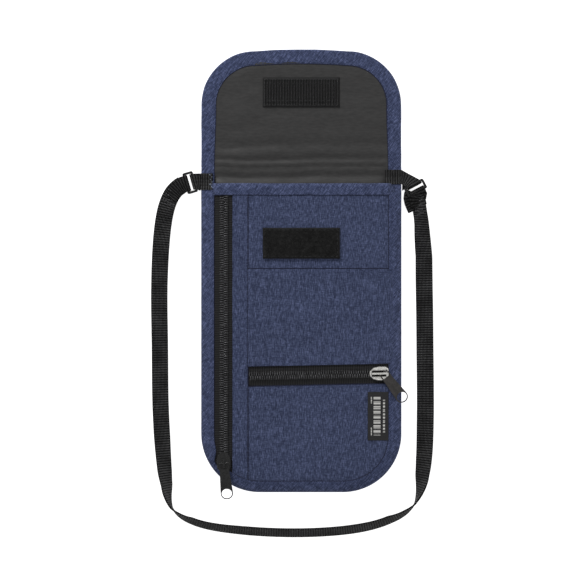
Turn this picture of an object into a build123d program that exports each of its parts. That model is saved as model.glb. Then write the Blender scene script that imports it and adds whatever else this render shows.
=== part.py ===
from build123d import *
import math
import os

# Neck pouch wallet lying on its back with the flap turned up: +X right, +Y up the pouch,
# +Z out of the front. The origin is the middle of the pouch's back, on the surface it lies on.

os.makedirs("parts", exist_ok=True)

# ---------------------------------------------------------------- driving dimensions (mm)
pouch_width = 130.0
pouch_length = 200.0
bottom_radius = 38.0
flap_radius = 35.0
flap_crown = 2.5
fold_depth = 10.3

binding_cloth = 0.5
binding_wall = 1.0
side_binding = 8.3
bottom_binding = 7.2
flap_binding = 9.3

outer_cloth = 1.2
lining_cloth = 0.4
compartment_gap = 4.2
front_lining_cloth = 0.3
pocket_bag_cloth = 0.3
front_cloth = 0.7
slip_pocket_gap = 0.3
slip_cloth = 0.6
seam_width = 2.0
sewing_gap = 0.35

top_hem = 7.0
loop_patch_size = (50.0, 20.0)
hook_patch_size = (50.0, 19.5)
loop_patch_height = 2.3
hook_patch_height = 1.7
label_size = (13.3, 31.4)
label_height = 0.5

chain_width = 6.0
chain_height = 1.5
chain_split = 0.8
tape_width = 12.0
tape_cloth = 0.4
stop_length = 1.6
strip_width = 9.8
side_pull_turn = 6.0
lower_zip_tilt = 1.2
lower_zip_window = 12.9
lower_pull_turn = -53.5

slider_length = 12.1
slider_half_width = 4.5
slider_plate = 0.7
slider_sole = 0.9
running_gap = 0.15
post_width = 0.6
crown_width = 1.2
crown_cloth = 0.6
crown_leg = 0.9
long_crown = (-4.9, 5.5, 2.3)
short_crown = (-1.75, 4.75, 1.5)

pull_length = 23.3
pull_thickness = 1.0
pull_droop = 2.5
pull_head = 6.3
pull_arm = 0.8
eye_start = 0.3
eye_length = 3.1
pull_tip = (3.8, 4.0)
pull_hole = (3.05, 3.35)
angled_eye_shift = 0.65

webbing_width = 10.4
webbing_cloth = 0.9
tab_reach = 7.0
ring_bar = 1.6
ring_window = (3.8, webbing_width + 0.5)
ring_corner = 1.2
window_corner = 0.2
ring_gap = 0.25
ring_height = 4.0
strap_width = 10.8
strap_cloth = 1.0

# ---------------------------------------------------------------- places on the pouch
half_width = pouch_width / 2
pouch_bottom = -pouch_length / 2
mouth_edge = pouch_length / 2
binding_inside = half_width - side_binding

fold_middle = mouth_edge + 11.35
fold_low = fold_middle - fold_depth / 2
fold_high = fold_middle + fold_depth / 2
flap_top = mouth_edge + 88.0
tab_y = mouth_edge + 0.9
left_ring = (-half_width - webbing_width / 2 - 2.0, tab_y + 0.1, 196.0)
right_ring = (half_width + webbing_width / 2 + 4.0, tab_y - 3.3, -62.0)

slip_pocket_mouth = mouth_edge - 55.2
loop_patch_y = mouth_edge - 38.5
hook_patch_y = fold_high + fold_low - loop_patch_y - 1.5
label_place = (binding_inside - sewing_gap - label_size[0] / 2, pouch_bottom + 49.5)

side_zip_x = 14.8 - half_width
strip_left = side_zip_x + 5.6
strip_right = strip_left + strip_width
side_chain_top = mouth_edge - 16.0
side_chain_bottom = pouch_bottom + 12.5
side_tape_top = mouth_edge - 3.0
side_tape_bottom = pouch_bottom + 7.0
side_slider_y = side_chain_bottom + slider_length / 2 + 1.95
lower_zip_left = (strip_right + 0.7, pouch_bottom + 75.4)
lower_slider_along = binding_inside - sewing_gap - lower_zip_left[0] - slider_length / 2
lower_chain_end = lower_slider_along + slider_length / 2 + stop_length + 0.05

# The strap's centre line, from the left ring round below the pouch to the right ring.
# It lies flat at both sides and rises below the pouch, where it leans on its edge.
strap_low = 0.55
strap_leaning = 2.6
strap_route = [
    (-77.2, 99.6, ring_height),
    (-81.6, 97.0, 3.5),
    (-86.2, 89.9, 2.2),
    (-89.4, 79.2, 1.1),
    (-91.5, 60.0, strap_low + 0.1),
    (-92.5, 30.0, strap_low),
    (-92.3, -5.0, strap_low),
    (-91.5, -40.0, strap_low),
    (-90.3, -70.0, strap_low),
    (-88.5, -92.0, 1.1),
    (-84.8, -106.2, 2.4),
    (-77.2, -115.4, 3.2),
    (-65.8, -120.6, 3.1),
    (-48.0, -124.0, strap_leaning),
    (-22.0, -126.3, strap_leaning),
    (8.0, -126.4, strap_leaning),
    (34.0, -124.3, strap_leaning),
    (54.0, -119.8, 3.1),
    (67.2, -112.4, 3.2),
    (75.6, -100.6, 2.4),
    (79.9, -83.0, 1.1),
    (81.1, -55.0, strap_low),
    (80.8, -22.0, strap_low),
    (80.3, 12.0, strap_low),
    (79.7, 44.0, strap_low + 0.1),
    (79.5, 66.0, 1.1),
    (79.9, 79.6, 2.2),
    (79.1, 88.1, 3.4),
    (76.7, 92.9, ring_height),
]

# ---------------------------------------------------------------- heights of the layers
back_top = outer_cloth + lining_cloth
hinge_height = back_top + binding_cloth
front_lining_low = back_top + compartment_gap
front_lining_top = front_lining_low + front_lining_cloth
bag_top = front_lining_top + pocket_bag_cloth
sole_low = bag_top + 0.1
sole_top = sole_low + slider_sole
tape_low = sole_top + 0.2
tape_top = tape_low + tape_cloth
front_top = tape_top + front_cloth
binding_top = front_top + binding_cloth
slip_low = front_top + slip_pocket_gap
slip_top = slip_low + slip_cloth
chain_top = tape_top + chain_height
plate_low = chain_top + running_gap
plate_top = plate_low + slider_plate
pull_pivot = plate_top + 0.25 + pull_thickness / 2
crown_low = pull_pivot + pull_thickness / 2 + 0.1
crown_top = crown_low + crown_cloth
tab_low = binding_top
tab_top = tab_low + webbing_cloth
tab_end = half_width + 1.0


# ---------------------------------------------------------------- small helpers
def slab(sketch, low, high):
    return extrude(Pos(0, 0, low) * sketch, high - low)


def block(x, y, z):
    low = Vector(x[0], y[0], z[0])
    size = Vector(x[1], y[1], z[1]) - low
    return Pos(*(low + size / 2)) * Box(*size)


def body_outline(side, end, top):
    half = half_width - side
    bottom = pouch_bottom + end
    corners = Polyline((-half, top), (-half, bottom), (half, bottom), (half, top), close=True)
    face = make_face(corners)
    return fillet(face.vertices().sort_by(Axis.Y)[:2], bottom_radius - (side + end) / 2)


def flap_outline(inset):
    half = half_width - inset
    shoulder = flap_top - inset - flap_crown
    sides = Polyline((half, shoulder), (half, fold_high), (-half, fold_high), (-half, shoulder))
    top = ThreePointArc((-half, shoulder), (0, flap_top - inset), (half, shoulder))
    face = make_face(sides + top)
    return fillet(face.vertices().sort_by(Axis.Y)[-2:], flap_radius - inset)


def spine_outline(inset):
    half = half_width - inset
    return Pos(0, fold_middle) * Rectangle(2 * half, fold_depth)


def channel(outside, filled, inside, top):
    """Binding folded round an edge: two flanges and the wall that joins them."""
    hollow = slab(filled, binding_cloth, top - binding_cloth)
    return slab(outside, 0, top) - hollow - slab(inside, -1, top + 1)


def padded_cloth(filled, inside):
    """Outer cloth that is full thickness inside the binding and thinner under it."""
    return slab(filled, binding_cloth, outer_cloth) + slab(inside, 0, outer_cloth)


def part_of_front(points, low, high):
    """The stretch of a front layer that lies within a plan outline."""
    layer = slab(body_outline(binding_wall, binding_wall, mouth_edge), low, high)
    return layer & slab(make_face(Polyline(*points, close=True)), low - 1, high + 1)


def rectangle_points(left, right, bottom, top):
    return [(left, bottom), (right, bottom), (right, top), (left, top)]


nodes = {}

# ---------------------------------------------------------------- back, flap and their binding
back_filled = body_outline(binding_wall, binding_wall, fold_low)
back_inside = body_outline(side_binding, bottom_binding, fold_low)
nodes["back_panel"] = padded_cloth(back_filled, back_inside)
nodes["back_lining"] = slab(back_filled, outer_cloth, back_top)

body_channel = channel(
    body_outline(0, 0, mouth_edge),
    body_outline(binding_wall, binding_wall, mouth_edge + 1),
    body_outline(side_binding, bottom_binding, mouth_edge + 1),
    binding_top,
)
low_channel = channel(
    body_outline(0, 0, fold_low),
    body_outline(binding_wall, binding_wall, fold_low + 1),
    body_outline(side_binding, bottom_binding, fold_low + 1),
    hinge_height,
)
above_mouth = block((-half_width, half_width), (mouth_edge, fold_low), (0, hinge_height))
zip_notch = block(
    (side_zip_x - slider_half_width - 0.4, side_zip_x + slider_half_width + 0.4),
    (side_chain_bottom - 0.3, 0),
    (tape_top, binding_top + 1),
)
nodes["body_binding"] = body_channel + (low_channel & above_mouth) - zip_notch

nodes["spine_outer"] = padded_cloth(spine_outline(binding_wall), spine_outline(side_binding))
nodes["spine_lining"] = slab(spine_outline(binding_wall), outer_cloth, back_top)
spine_gap = Pos(0, fold_middle) * Rectangle(2 * (half_width - binding_wall), 2 * fold_depth)
spine_middle = Pos(0, fold_middle) * Rectangle(2 * (half_width - side_binding), 2 * fold_depth)
nodes["spine_binding"] = channel(spine_outline(0), spine_gap, spine_middle, hinge_height)

flap_filled = flap_outline(binding_wall)
flap_inside = flap_outline(flap_binding)
nodes["flap_outer"] = padded_cloth(flap_filled, flap_inside)
nodes["flap_lining"] = slab(flap_filled, outer_cloth, back_top)
nodes["flap_binding"] = channel(flap_outline(0), flap_filled, flap_inside, hinge_height)
nodes["hook_patch"] = slab(
    Pos(0, hook_patch_y) * Rectangle(*hook_patch_size), back_top, back_top + hook_patch_height
)

# ---------------------------------------------------------------- front layers
tilt = math.tan(math.radians(lower_zip_tilt))


def lower_zip_y(x):
    return lower_zip_left[1] + tilt * (x - lower_zip_left[0])


left_edge = -half_width
right_edge = half_width
window_half = lower_zip_window / 2
zip_above_left = (strip_right, lower_zip_y(strip_right) + window_half)
zip_above_right = (right_edge, lower_zip_y(right_edge) + window_half)
zip_below_left = (strip_right, lower_zip_y(strip_right) - window_half)
zip_below_right = (right_edge, lower_zip_y(right_edge) - window_half)

hem_low = mouth_edge - top_hem
nodes["front_lining"] = part_of_front(
    rectangle_points(left_edge, right_edge, pouch_bottom, hem_low),
    front_lining_low,
    front_lining_top,
)
nodes["side_pocket_bag"] = part_of_front(
    rectangle_points(left_edge, strip_right, pouch_bottom, hem_low), front_lining_top, bag_top
)
nodes["lower_pocket_bag"] = part_of_front(
    [(strip_right, pouch_bottom), (right_edge, pouch_bottom), (right_edge, 0), (strip_right, 0)],
    front_lining_top,
    bag_top,
)
nodes["side_strip"] = part_of_front(
    rectangle_points(strip_left, strip_right, pouch_bottom, mouth_edge - binding_cloth),
    tape_top,
    front_top,
)
nodes["front_upper_panel"] = part_of_front(
    [
        zip_above_left,
        zip_above_right,
        (right_edge, mouth_edge - binding_cloth),
        (strip_right, mouth_edge - binding_cloth),
    ],
    tape_top,
    front_top,
)
nodes["lower_pocket_panel"] = part_of_front(
    [(strip_right, pouch_bottom), (right_edge, pouch_bottom), zip_below_right, zip_below_left],
    tape_top,
    front_top,
)

# The slip pocket is a second layer on the upper panel, sewn down on three sides.
pocket_low_right = (binding_inside, lower_zip_y(binding_inside) + window_half)
slip_points = [
    zip_above_left,
    pocket_low_right,
    (binding_inside, slip_pocket_mouth),
    (strip_right, slip_pocket_mouth),
]
slip_room = [
    (strip_right + seam_width, zip_above_left[1] + 2 * seam_width),
    (binding_inside - seam_width, pocket_low_right[1] + 2 * seam_width),
    (binding_inside - seam_width, slip_pocket_mouth + 1),
    (strip_right + seam_width, slip_pocket_mouth + 1),
]
slip_pocket = part_of_front(slip_points, front_top, slip_top)
nodes["slip_pocket_panel"] = slip_pocket - part_of_front(slip_room, front_top, slip_low)

# The hem is folded over the mouth's edge and meets the front lining behind it.
hem_x = (-binding_inside, binding_inside)
hem_outer = block(hem_x, (hem_low, mouth_edge), (front_lining_low, binding_top))
hem_inner = block(hem_x, (hem_low, mouth_edge - binding_cloth), (front_lining_top, front_top))
nodes["front_top_hem"] = hem_outer - hem_inner

nodes["loop_patch"] = slab(
    Pos(0, loop_patch_y) * Rectangle(*loop_patch_size), front_top, front_top + loop_patch_height
)
nodes["woven_label"] = slab(
    Pos(*label_place) * Rectangle(*label_size), front_top, front_top + label_height
)


# ---------------------------------------------------------------- zippers
def zip_side(side, start, end, chain_start, chain_end):
    """One tape with its row of coil; the chain runs along X, in closing direction."""
    inner = chain_split / 2
    y_tape = sorted((side * inner, side * tape_width))
    y_coil = sorted((side * inner, side * chain_width / 2))
    tape = block((start, end), y_tape, (tape_low, tape_top))
    coil = block((chain_start, chain_end), y_coil, (tape_top, chain_top))
    ridge = coil.edges().filter_by(Axis.X).group_by(Axis.Z)[-1]
    return tape, fillet(ridge, chain_height * 0.4)


def zip_stops(near, far):
    """A pair of top stops where the slider ends opened, and one bottom stop where it closes."""
    top = (tape_top, chain_top)
    pair = [
        block((near - stop_length, near), sorted((s * chain_split / 2, s * chain_width / 2)), top)
        for s in (1, -1)
    ]
    under_binding = (tape_top, front_top - running_gap)
    last = block((far, far + stop_length), (-chain_width / 2, chain_width / 2), under_binding)
    return Compound(children=pair + [last])


def slider(crown):
    tail, nose = -slider_length / 2, slider_length / 2
    widest = slider_half_width
    half = [
        (tail, 0.31 * widest),
        (tail * 0.6, 0.82 * widest),
        (0, widest),
        (nose * 0.7, 0.96 * widest),
        (nose, 0.71 * widest),
    ]
    around = half + [(x, -y) for x, y in reversed(half)]
    plan = make_face(Polyline(*around, close=True))
    plan = fillet(plan.vertices(), 0.9)
    plate = slab(plan, plate_low, plate_top)
    plate = chamfer(plate.faces().sort_by(Axis.Z)[-1].edges(), 0.2)
    sole = slab(plan, sole_low, sole_top)
    guide = chain_width / 2 + running_gap
    rails = slab(plan, tape_top + 0.2, plate_low) - block(
        (tail, nose), (-guide, guide), (tape_top, plate_low + 1)
    )
    post = block((nose - 2.1, nose - 0.6), (-post_width / 2, post_width / 2), (sole_low, plate_top))
    back, front, _ = crown
    sides = (-crown_width / 2, crown_width / 2)
    arch = block((back, front), sides, (plate_top - 0.1, crown_top))
    under = block((back + crown_leg, front - crown_leg), sides, (plate_top - 0.2, crown_low))
    arch = fillet(arch.edges().filter_by(Axis.Y).group_by(Axis.Z)[-1], crown_cloth * 0.9) - under
    return plate + sole + rails + post + arch


def pull(eye_shift):
    """Flat pull along +X from its bar, which lies on the Y axis at height 0."""
    side = pull_head / 2
    tip_x = pull_length - pull_tip[0]
    neck = [(0, side), (6.0, side), (tip_x - 2.5, pull_tip[1] - 0.1), (tip_x, pull_tip[1])]
    around = neck + [(x, -y) for x, y in reversed(neck)]
    plan = make_face(Polyline(*around, close=True)) + Pos(tip_x, 0) * Ellipse(*pull_tip)
    plan -= Pos(tip_x + 0.1, 0) * Ellipse(*pull_hole)
    eye = Pos(eye_start + eye_length / 2, 0) * Rectangle(eye_length, pull_head - 2 * pull_arm)
    plate = slab(plan - eye, -pull_thickness / 2, pull_thickness / 2)
    bar = Rot(90, 0, 0) * Cylinder(pull_thickness / 2, pull_head)
    return Pos(0, eye_shift, 0) * (plate + bar)


front_space = slab(body_outline(binding_wall, binding_wall, hem_low), 0, crown_top)
side_frame = Pos(side_zip_x, 0, 0) * Rot(0, 0, -90)
lower_frame = Pos(*lower_zip_left, 0) * Rot(0, 0, lower_zip_tilt)


def add_zipper(name, frame, tape_ends, chain_ends, slider_at, stops, crown, turn, eye_shift):
    for side, word in ((1, "a"), (-1, "b")):
        tape, coil = zip_side(side, *tape_ends, *chain_ends)
        nodes[f"{name}_zip_tape_{word}"] = (frame * tape) & front_space
        nodes[f"{name}_zip_coil_{word}"] = frame * coil
    nodes[f"{name}_zip_stops"] = frame * zip_stops(*stops)
    nodes[f"{name}_slider"] = frame * Pos(slider_at, 0, 0) * slider(crown)
    hinge = frame * Pos(slider_at + crown[2], 0, pull_pivot) * Rot(0, 0, turn)
    nodes[f"{name}_pull"] = hinge * Rot(0, pull_droop, 0) * pull(eye_shift)
    print(name, "pull bar at", hinge.position, "turned", hinge.orientation.Z)


add_zipper(
    "side",
    side_frame,
    (-side_tape_top, -side_tape_bottom),
    (-side_chain_top + stop_length, -side_chain_bottom - stop_length),
    -side_slider_y,
    (-side_chain_top + stop_length, -side_chain_bottom - stop_length),
    short_crown,
    side_pull_turn,
    0,
)
add_zipper(
    "lower",
    lower_frame,
    (-0.5, lower_chain_end + 2.5),
    (stop_length, lower_chain_end - stop_length),
    lower_slider_along,
    (stop_length, lower_chain_end - stop_length),
    long_crown,
    lower_pull_turn,
    angled_eye_shift,
)


# ---------------------------------------------------------------- tabs, rings and strap
def ring():
    length, width = ring_window
    outside = RectangleRounded(length + 2 * ring_bar, width + 2 * ring_bar, ring_corner)
    plan = outside - RectangleRounded(length, width, window_corner)
    body = slab(plan, -ring_bar / 2, ring_bar / 2)
    flat = body.faces().filter_by(Axis.Z)
    return fillet(flat.edges(), 0.35)


def loop(root):
    """Webbing folded round a ring's bar: the bar is the Y axis and the root lies along -X."""
    inner = ring_bar / 2 + ring_gap
    outer = inner + webbing_cloth
    full = Rectangle(2 * root, 2 * outer) & Pos(-root, 0) * Rectangle(2 * root, 4 * outer)
    hole = Pos(-inner, 0) * Rectangle(2 * inner, 2 * inner)
    profile = full + Circle(outer) - Circle(inner) - hole
    return extrude(Plane.XZ * profile, webbing_width / 2, both=True)


def bar_offset():
    return (ring_window[0] + ring_bar) / 2


def ring_frame(place):
    x, y, turn = place
    return Pos(x, y, ring_height) * Rot(0, 0, turn)


def tab_loop(place, side):
    """Loop on the ring's inner bar, and the tab between it and the pouch's edge."""
    root = 2.1
    frame = ring_frame(place)
    folded = frame * Pos(-bar_offset(), 0, 0) * loop(root)
    near = [
        frame * Pos(-bar_offset() - root + 0.2, v, 0)
        for v in (-webbing_width / 2, webbing_width / 2)
    ]
    edge = sorted((p.position.Y, p.position.X) for p in near)
    points = [
        (side * tab_end, tab_y - webbing_width / 2),
        (edge[0][1], edge[0][0]),
        (edge[1][1], edge[1][0]),
        (side * tab_end, tab_y + webbing_width / 2),
    ]
    tab = slab(
        make_face(Polyline(*points, close=True)),
        ring_height - webbing_cloth,
        ring_height + webbing_cloth,
    )
    outside = sorted((side * tab_end, side * (tab_end + 40)))
    return (folded + tab) & block(outside, (tab_y - 40, tab_y + 40), (-20, 40))


def tab_base(side):
    """Tab sewn on the binding, turned down the pouch's edge to the height of the ring."""
    y = (tab_y - webbing_width / 2, tab_y + webbing_width / 2)
    flat = block(sorted((side * (half_width - tab_reach), side * tab_end)), y, (tab_low, tab_top))
    drop = block(
        sorted((side * half_width, side * tab_end)), y, (ring_height - webbing_cloth, tab_top)
    )
    return flat + drop


for word, side, place in (("left", -1, left_ring), ("right", 1, right_ring)):
    nodes[f"tab_base_{word}"] = tab_base(side)
    nodes[f"tab_loop_{word}"] = tab_loop(place, side)
    nodes[f"strap_ring_{word}"] = ring_frame(place) * ring()
    end_loop = ring_frame(place) * Pos(bar_offset(), 0, 0) * Rot(0, 0, 180) * loop(2.5)
    nodes[f"strap_end_{word}"] = end_loop

radii = []
for before, here, after in zip(strap_route, strap_route[1:], strap_route[2:]):
    first = Vector(*here) - Vector(*before)
    second = Vector(*after) - Vector(*here)
    turn = math.radians(first.get_angle(second))
    radii.append(0.45 * min(first.length, second.length) / math.tan(turn / 2))
strap_path = FilletPolyline(*strap_route, radius=radii)
start_plane = Plane(
    origin=strap_route[0],
    x_dir=Vector(0, 0, 1).cross(strap_path % 0),
    z_dir=strap_path % 0,
)
strap_section = start_plane * Rectangle(strap_width, strap_cloth)
straight_up = Wire((Pos(0, 0, 20) * strap_path).edges())
nodes["neck_strap"] = sweep(strap_section, path=strap_path, binormal=straight_up)
print("strap radii", [round(r, 1) for r in radii])
strap_volume = strap_width * strap_cloth * strap_path.length
print("strap length", round(strap_path.length, 1), "volume by length", round(strap_volume, 1))
print("strap volume", round(nodes["neck_strap"].volume, 1))

for name, shape in nodes.items():
    export_step(shape, f"parts/{name}.step")
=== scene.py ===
import math

import bmesh
import bpy
import numpy as np
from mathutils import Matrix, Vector


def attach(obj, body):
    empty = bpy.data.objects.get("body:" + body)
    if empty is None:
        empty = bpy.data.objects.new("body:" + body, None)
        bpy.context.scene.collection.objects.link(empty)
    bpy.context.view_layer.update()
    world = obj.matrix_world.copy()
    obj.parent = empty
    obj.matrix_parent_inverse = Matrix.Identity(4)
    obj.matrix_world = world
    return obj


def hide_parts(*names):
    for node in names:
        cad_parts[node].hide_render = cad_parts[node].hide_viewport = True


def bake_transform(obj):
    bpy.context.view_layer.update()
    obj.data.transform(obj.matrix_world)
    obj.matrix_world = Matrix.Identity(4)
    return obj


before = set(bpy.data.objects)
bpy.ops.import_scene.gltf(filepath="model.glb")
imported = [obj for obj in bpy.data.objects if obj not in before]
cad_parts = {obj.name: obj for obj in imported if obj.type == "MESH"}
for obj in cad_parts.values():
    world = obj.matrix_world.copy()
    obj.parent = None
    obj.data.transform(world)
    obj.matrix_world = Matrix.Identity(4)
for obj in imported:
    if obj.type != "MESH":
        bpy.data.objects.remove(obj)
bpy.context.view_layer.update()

# A neck pouch wallet on its back, flap turned up. Sizes below are millimetres, meshes are metres.
MM = 0.001

# ------------------------------------------------------------------ sizes shared by the pieces
HALF_WIDTH = 65.0
BOTTOM = -100.0
MOUTH = 100.0
BOTTOM_RADIUS = 38.0
FLAP_TOP = 188.0
FLAP_RADIUS = 35.0
FLAP_CROWN = 2.5
FOLD_LOW = 106.2
FOLD_HIGH = 116.5
FOLD_MIDDLE = (FOLD_LOW + FOLD_HIGH) / 2
SIDE_BINDING = 8.3
BOTTOM_BINDING = 7.2
FLAP_BINDING = 9.3
HEM = 7.0
STRIP_LEFT = -44.6
STRIP_RIGHT = -34.8
POCKET_MOUTH = 44.8
POCKET_RIGHT = HALF_WIDTH - SIDE_BINDING
TAPE_HEIGHT = 7.95
CHAIN_TOP = 9.5
SIDE_ZIP_X = -50.2
LOWER_ZIP_START = (-34.1, -24.6)
LOWER_ZIP_TILT = math.radians(1.2)
LOWER_WINDOW_HALF = 6.45
TOOTH_PITCH = 1.5
STITCH_PITCH = 2.9
WEBBING_WIDTH = 10.4
STRAP_WIDTH = 10.8
WEBBING_THICKNESS = 1.1
RING_HEIGHT = 4.0
RING_BAR = 1.6
BAR_OFFSET = 2.7
TAB_Y = 100.9
LEFT_RING = (-72.2, 101.0, math.radians(196.0))
RIGHT_RING = (74.2, 97.6, math.radians(-62.0))


# ------------------------------------------------------------------ small helpers
def linear(code):
    """Linear RGBA of an sRGB hex colour."""
    channels = [int(code[i:i + 2], 16) / 255 for i in (1, 3, 5)]
    return (*[c / 12.92 if c <= 0.04045 else ((c + 0.055) / 1.055) ** 2.4 for c in channels], 1.0)


def smooth(low, high, value):
    t = np.clip((value - low) / (high - low), 0, 1)
    return t * t * (3 - 2 * t)


def ripple(x, y, size, seed):
    """Smooth random height from -1 to 1 whose lumps are about size across."""
    table = np.random.RandomState(seed).uniform(-1, 1, (64, 64))
    u, v = np.asarray(x) / size + 31.3, np.asarray(y) / size + 17.7
    i, j = np.floor(u).astype(int), np.floor(v).astype(int)
    fu, fv = u - i, v - j
    fu, fv = fu * fu * (3 - 2 * fu), fv * fv * (3 - 2 * fv)
    corner = [table[(i + a) % 64, (j + b) % 64] for a in (0, 1) for b in (0, 1)]
    near = corner[0] * (1 - fv) + corner[1] * fv
    far = corner[2] * (1 - fv) + corner[3] * fv
    return near * (1 - fu) + far * fu


def new_object(name, mesh):
    made = bpy.data.objects.new(name, mesh)
    bpy.context.scene.collection.objects.link(made)
    return made


def mesh_object(name, points, faces, uv=None, edges=()):
    """Object from points in millimetres; uv holds one pair per point."""
    mesh = bpy.data.meshes.new(name)
    mesh.from_pydata([tuple(p) for p in np.asarray(points, float) * MM], list(edges), faces)
    if uv is not None:
        layer = mesh.uv_layers.new(name="surface")
        for corner in mesh.loops:
            layer.data[corner.index].uv = uv[corner.vertex_index]
    mesh.polygons.foreach_set("use_smooth", [True] * len(mesh.polygons))
    return new_object(name, mesh)


def grid_object(name, rows, uv_rows=None, closed=False):
    """Object from rows of points, joined into quads; closed joins each row's last point to its first."""
    rows = np.asarray(rows, float)
    count, across = rows.shape[:2]
    faces = []
    for i in range(count - 1):
        for j in range(across if closed else across - 1):
            k = (j + 1) % across
            faces.append((i * across + j, i * across + k, (i + 1) * across + k, (i + 1) * across + j))
    uv = None if uv_rows is None else np.asarray(uv_rows, float).reshape(-1, 2)
    return mesh_object(name, rows.reshape(-1, 3), faces, uv)


def turn_outward(made, fill_holes=False):
    """Turn a mesh's faces outward, with its open ends filled first where asked."""
    shape = bmesh.new()
    shape.from_mesh(made.data)
    if fill_holes:
        bmesh.ops.holes_fill(shape, edges=[e for e in shape.edges if e.is_boundary])
    bmesh.ops.recalc_face_normals(shape, faces=shape.faces)
    shape.to_mesh(made.data)
    shape.free()
    return made


def apply_modifiers(piece):
    """Turn a piece and its modifiers into one plain mesh."""
    graph = bpy.context.evaluated_depsgraph_get()
    mesh = bpy.data.meshes.new_from_object(piece.evaluated_get(graph))
    piece.modifiers.clear()
    piece.data = mesh
    return piece


def thicken(piece, thickness, side=-1.0, sharp=40):
    """Give a sheet its cloth thickness, away from its faces when side is -1."""
    solid = piece.modifiers.new("cloth", "SOLIDIFY")
    solid.thickness = thickness * MM
    solid.offset = side
    solid.use_even_offset = True
    apply_modifiers(piece)
    piece.data.set_sharp_from_angle(angle=math.radians(sharp))
    return piece


def paint(piece, material):
    piece.data.materials.clear()
    piece.data.materials.append(material)
    return piece


# ------------------------------------------------------------------ materials
def add_node(tree, kind, inputs=None, **settings):
    """Add a node, set its settings, and give each input a value or a link."""
    made = tree.nodes.new(kind)
    for name, value in settings.items():
        setattr(made, name, value)
    for name, value in (inputs or {}).items():
        if isinstance(value, bpy.types.NodeSocket):
            tree.links.new(value, made.inputs[name])
        else:
            made.inputs[name].default_value = value
    return made


def new_material(name):
    material = bpy.data.materials.new(name)
    material.use_nodes = True
    tree = material.node_tree
    tree.nodes.clear()
    shader = add_node(tree, "ShaderNodeBsdfPrincipled")
    out = add_node(tree, "ShaderNodeOutputMaterial", {"Surface": shader.outputs[0]})
    out.target = "ALL"
    return material, tree, shader


def link(tree, source, target):
    tree.links.new(source, target)


def heather_cloth(name, turn, slub, tones):
    """Heather polyester, plain woven from two-tone yarn: short pale and dark slubs run along the
    warp, crossed by a fainter weft, so the navy looks dusty and matt with a soft bloom."""
    material, tree, shader = new_material(name)
    place = add_node(tree, "ShaderNodeTexCoord")
    turned = add_node(
        tree, "ShaderNodeMapping", {"Vector": place.outputs["Object"], "Rotation": (0, 0, turn)}
    )
    # Slubs are about 0.5 mm wide and 3 mm long; yarns are really 0.3 mm apart, drawn at 0.62 mm so that
    # they show.
    warp = add_node(
        tree,
        "ShaderNodeMapping",
        {"Vector": turned.outputs[0], "Scale": (1 / slub, 1 / (6 * slub), 1 / 0.002)},
    )
    weft = add_node(
        tree,
        "ShaderNodeMapping",
        {"Vector": turned.outputs[0], "Scale": (1 / (5 * slub), 1 / slub, 1 / 0.002)},
    )
    warp_slubs = add_node(
        tree, "ShaderNodeTexNoise", {"Vector": warp.outputs[0], "Scale": 1.0, "Detail": 2.0, "Roughness": 0.6}
    )
    weft_slubs = add_node(
        tree, "ShaderNodeTexNoise", {"Vector": weft.outputs[0], "Scale": 1.0, "Detail": 2.0, "Roughness": 0.6}
    )
    mixed = add_node(
        tree,
        "ShaderNodeMix",
        {"Factor": 0.36, "A": warp_slubs.outputs[0], "B": weft_slubs.outputs[0]},
    )
    tone = add_node(tree, "ShaderNodeValToRGB", {"Fac": mixed.outputs[0]})
    dark, middle, pale = tones
    tone.color_ramp.elements[0].position = 0.34
    tone.color_ramp.elements[0].color = linear(dark)
    tone.color_ramp.elements[1].position = 0.68
    tone.color_ramp.elements[1].color = linear(pale)
    tone.color_ramp.elements.new(0.48).color = linear(middle)
    cloud = add_node(
        tree, "ShaderNodeTexNoise", {"Vector": turned.outputs[0], "Scale": 45.0, "Detail": 2.0}
    )
    cloud_range = add_node(
        tree, "ShaderNodeMapRange", {"Value": cloud.outputs[0], "To Min": 0.90, "To Max": 1.08}
    )
    shaded = add_node(
        tree,
        "ShaderNodeMix",
        {"Factor": 1.0, "A": tone.outputs[0], "B": cloud_range.outputs[0]},
        data_type="RGBA",
        blend_type="MULTIPLY",
    )
    link(tree, shaded.outputs["Result"], shader.inputs["Base Color"])
    # The weave itself: warp and weft bands that pass over and under each other.
    yarn = 0.00062
    across = add_node(
        tree,
        "ShaderNodeTexWave",
        {"Vector": turned.outputs[0], "Scale": 1 / yarn / 20 * 2 * math.pi, "Distortion": 0.6,
         "Detail Scale": 3.0},
        bands_direction="X",
    )
    along = add_node(
        tree,
        "ShaderNodeTexWave",
        {"Vector": turned.outputs[0], "Scale": 1 / yarn / 20 * 2 * math.pi, "Distortion": 0.6,
         "Detail Scale": 3.0},
        bands_direction="Y",
    )
    weave = add_node(
        tree, "ShaderNodeMath", {0: across.outputs["Fac"], 1: along.outputs["Fac"]}, operation="MAXIMUM"
    )
    raised = add_node(
        tree, "ShaderNodeMath", {0: weave.outputs[0], 1: mixed.outputs[0]}, operation="ADD"
    )
    bump = add_node(
        tree, "ShaderNodeBump", {"Height": raised.outputs[0], "Strength": 0.55, "Distance": 0.00022}
    )
    link(tree, bump.outputs[0], shader.inputs["Normal"])
    shader.inputs["Roughness"].default_value = 0.86
    shader.inputs["Sheen Weight"].default_value = 0.25
    shader.inputs["Sheen Roughness"].default_value = 0.5
    shader.inputs["Specular IOR Level"].default_value = 0.3
    return material


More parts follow.
